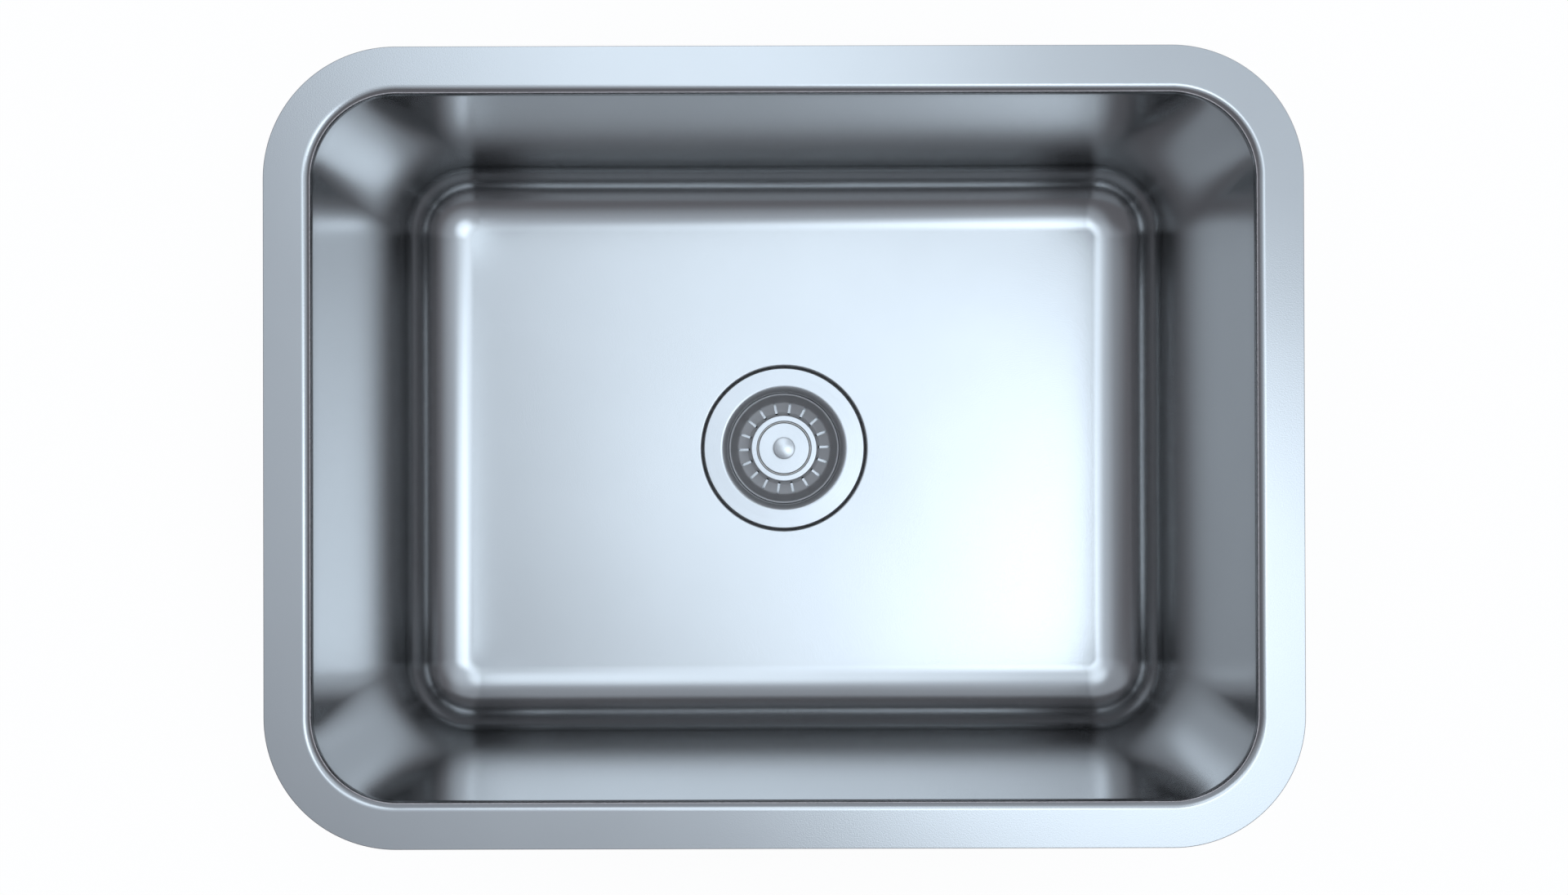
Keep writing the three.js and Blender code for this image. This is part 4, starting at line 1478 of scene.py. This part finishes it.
@dataclass
class Plug:
    """The pull-up plug: domed knob, cap, piston, rubber stopper, its plate and the screw through all."""

    finishes: Finishes
    seat_gap: float = 0.3 * MM
    cap_sheet: float = 0.7 * MM
    cap_edge_radius: float = 0.5 * MM
    cap_edge_depth: float = 2.2 * MM
    cap_edge_steps: int = 8
    knob_radius: float = 7.5 * MM
    dome_radius: float = 33 * MM
    knob_edge: float = 0.3 * MM
    knob_edge_start: float = -0.5  # quarter turns from straight out
    knob_edge_steps: int = 14
    dome_steps: int = 12
    flare_height: float = 3 * MM
    neck_radius: float = 4.2 * MM
    neck_height: float = 5 * MM
    thread_depth: float = 7 * MM
    piston_round: float = 0.3 * MM
    stopper_round: float = 0.5 * MM
    plate_round: float = 0.25 * MM
    top_radius: float = 20.4 * MM
    shoulder_radius: float = 22.4 * MM
    shoulder_drop: float = 2.2 * MM
    lip_width: float = 2.4 * MM
    lip_height: float = 1.2 * MM
    web: float = 2.6 * MM
    hollow_radius: float = 19 * MM
    screw_radius: float = 2 * MM
    head_radius: float = 4 * MM
    head_height: float = 1.8 * MM
    head_chamfer: float = 0.6 * MM
    tip_chamfer: float = 0.3 * MM
    slot_width: float = 1.4 * MM
    slot_depth: float = 1.3 * MM
    round_steps: int = 144
    small_steps: int = 64

    def __post_init__(self) -> None:
        """The bore that the screw passes through."""
        self.bore = self.screw_radius + self.seat_gap

    def knob(self) -> None:
        """A mushroom knob: neck, flare, rounded edge and a low dome that the edge runs into.

        The edge's arc touches the dome's from inside, so their centres are the dome's radius less the
        edge's apart, which gives the dome's centre and the angle where they meet.
        """
        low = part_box("plug_knob")[0]
        neck_top = low.z + self.neck_height
        edge_height = neck_top + self.flare_height
        edge_radius = self.knob_radius - self.knob_edge
        reach = self.dome_radius - self.knob_edge
        dome_centre = edge_height - math.sqrt(reach**2 - edge_radius**2)
        meet = math.acos(edge_radius / reach) / QUARTER
        dome = arc((0.0, dome_centre), self.dome_radius, meet, 1, self.dome_steps)[1:]
        dome[-1, 0] = 0.0
        hollow = low.z + self.thread_depth + self.seat_gap
        profile = path_of(
            (0.0, hollow),
            (self.bore, hollow),
            (self.bore, low.z),
            (self.neck_radius, low.z),
            (self.neck_radius, neck_top - self.knob_edge / 2),
            (self.neck_radius + self.knob_edge / 4, neck_top),
            arc((edge_radius, edge_height), self.knob_edge, self.knob_edge_start, meet, self.knob_edge_steps),
            dome,
        )
        piece = turned_piece("domed_knob", profile, self.small_steps)
        place(piece, Body.PLUG, "plug_knob", Slot.CHROME, self.finishes.knob_chrome, crease=SOFT_CREASE)

    def cap(self) -> None:
        """The bright disc round the knob, with its edge turned down."""
        high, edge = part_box("plug_cap")[1], self.cap_edge_radius
        path = path_of(
            (high.x, high.z - self.cap_edge_depth),
            arc((high.x - edge, high.z - edge), edge, 0, 1, self.cap_edge_steps),
            (self.bore, high.z),
        )
        piece = turned_piece("cap_disc", thicken(path, self.cap_sheet), self.round_steps)
        place(piece, Body.PLUG, "plug_cap", Slot.WASTE_STEEL, self.finishes.waste_steel)

    def piston(self) -> None:
        """The dark plastic piston that slides in the bush."""
        low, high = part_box("plug_piston")
        cap_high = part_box("plug_cap")[1]
        neck = cap_high.x - self.cap_sheet - self.seat_gap
        shoulder = cap_high.z - self.cap_edge_depth - self.seat_gap
        profile = soften(path_of(
            (self.bore, low.z),
            (high.x, low.z),
            (high.x, shoulder),
            (neck, shoulder),
            (neck, high.z),
            (self.bore, high.z),
        ), self.piston_round)
        piece = turned_piece("slide_piston", profile, self.round_steps)
        place(piece, Body.PLUG, "plug_piston", Slot.DARK_PLASTIC, self.finishes.dark_plastic)

    def stopper(self) -> None:
        """The rubber stopper: a stepped disc, hollow underneath, with a sealing lip."""
        low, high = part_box("plug_stopper")
        web_bottom = high.z - self.web
        profile = soften(path_of(
            (self.bore, web_bottom),
            (self.hollow_radius, web_bottom),
            (high.x - self.lip_width, low.z),
            (high.x, low.z),
            (high.x, low.z + self.lip_height),
            (self.shoulder_radius, high.z - self.shoulder_drop),
            (self.top_radius, high.z),
            (self.bore, high.z),
        ), self.stopper_round)
        piece = turned_piece("rubber_stopper", profile, self.round_steps)
        finish = self.finishes.black_rubber
        place(piece, Body.PLUG, "plug_stopper", Slot.BLACK_RUBBER, finish, crease=SOFT_CREASE)

    def plate(self) -> None:
        """The steel washer that holds the stopper up."""
        low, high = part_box("stopper_plate")
        profile = soften(ring_profile(self.bore, high.x, low.z, high.z), self.plate_round)
        piece = turned_piece("stopper_washer", profile, self.round_steps)
        place(piece, Body.PLUG, "stopper_plate", Slot.WASTE_STEEL, self.finishes.bright_steel)

    def screw(self) -> None:
        """The slotted screw, head down, that ties the plug together."""
        low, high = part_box("plug_screw")
        head_top = low.z + self.head_height
        profile = path_of(
            (0.0, low.z),
            (self.head_radius - self.head_chamfer, low.z),
            (self.head_radius, low.z + self.head_chamfer),
            (self.head_radius, head_top),
            (self.screw_radius, head_top),
            (self.screw_radius, high.z - self.tip_chamfer),
            (self.screw_radius - self.tip_chamfer, high.z),
            (0.0, high.z),
        )
        piece = turned_piece("plug_tie_screw", profile, self.small_steps)
        carve(piece, [slot_block(self.head_radius, self.slot_width, low.z, self.slot_depth)])
        place(piece, Body.PLUG, "plug_screw", Slot.CHROME, self.finishes.bright_steel)

    def build(self) -> None:
        """Makes the plug's pieces."""
        self.knob()
        self.cap()
        self.piston()
        self.stopper()
        self.plate()
        self.screw()


def main() -> None:
    """Loads the frame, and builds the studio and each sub-assembly."""
    logging.basicConfig(level=logging.INFO, format="%(name)s %(message)s")
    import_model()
    frame_box = [list(corner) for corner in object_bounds()]
    Studio().build(floor_height=frame_box[0][2])
    finishes = Finishes.make()
    bowl = Bowl(finishes)
    bowl.build()
    SoundPads(finishes, bowl).build()
    Drain(finishes).build()
    Basket(finishes).build()
    Plug(finishes).build()


if __name__ == "__main__":
    main()
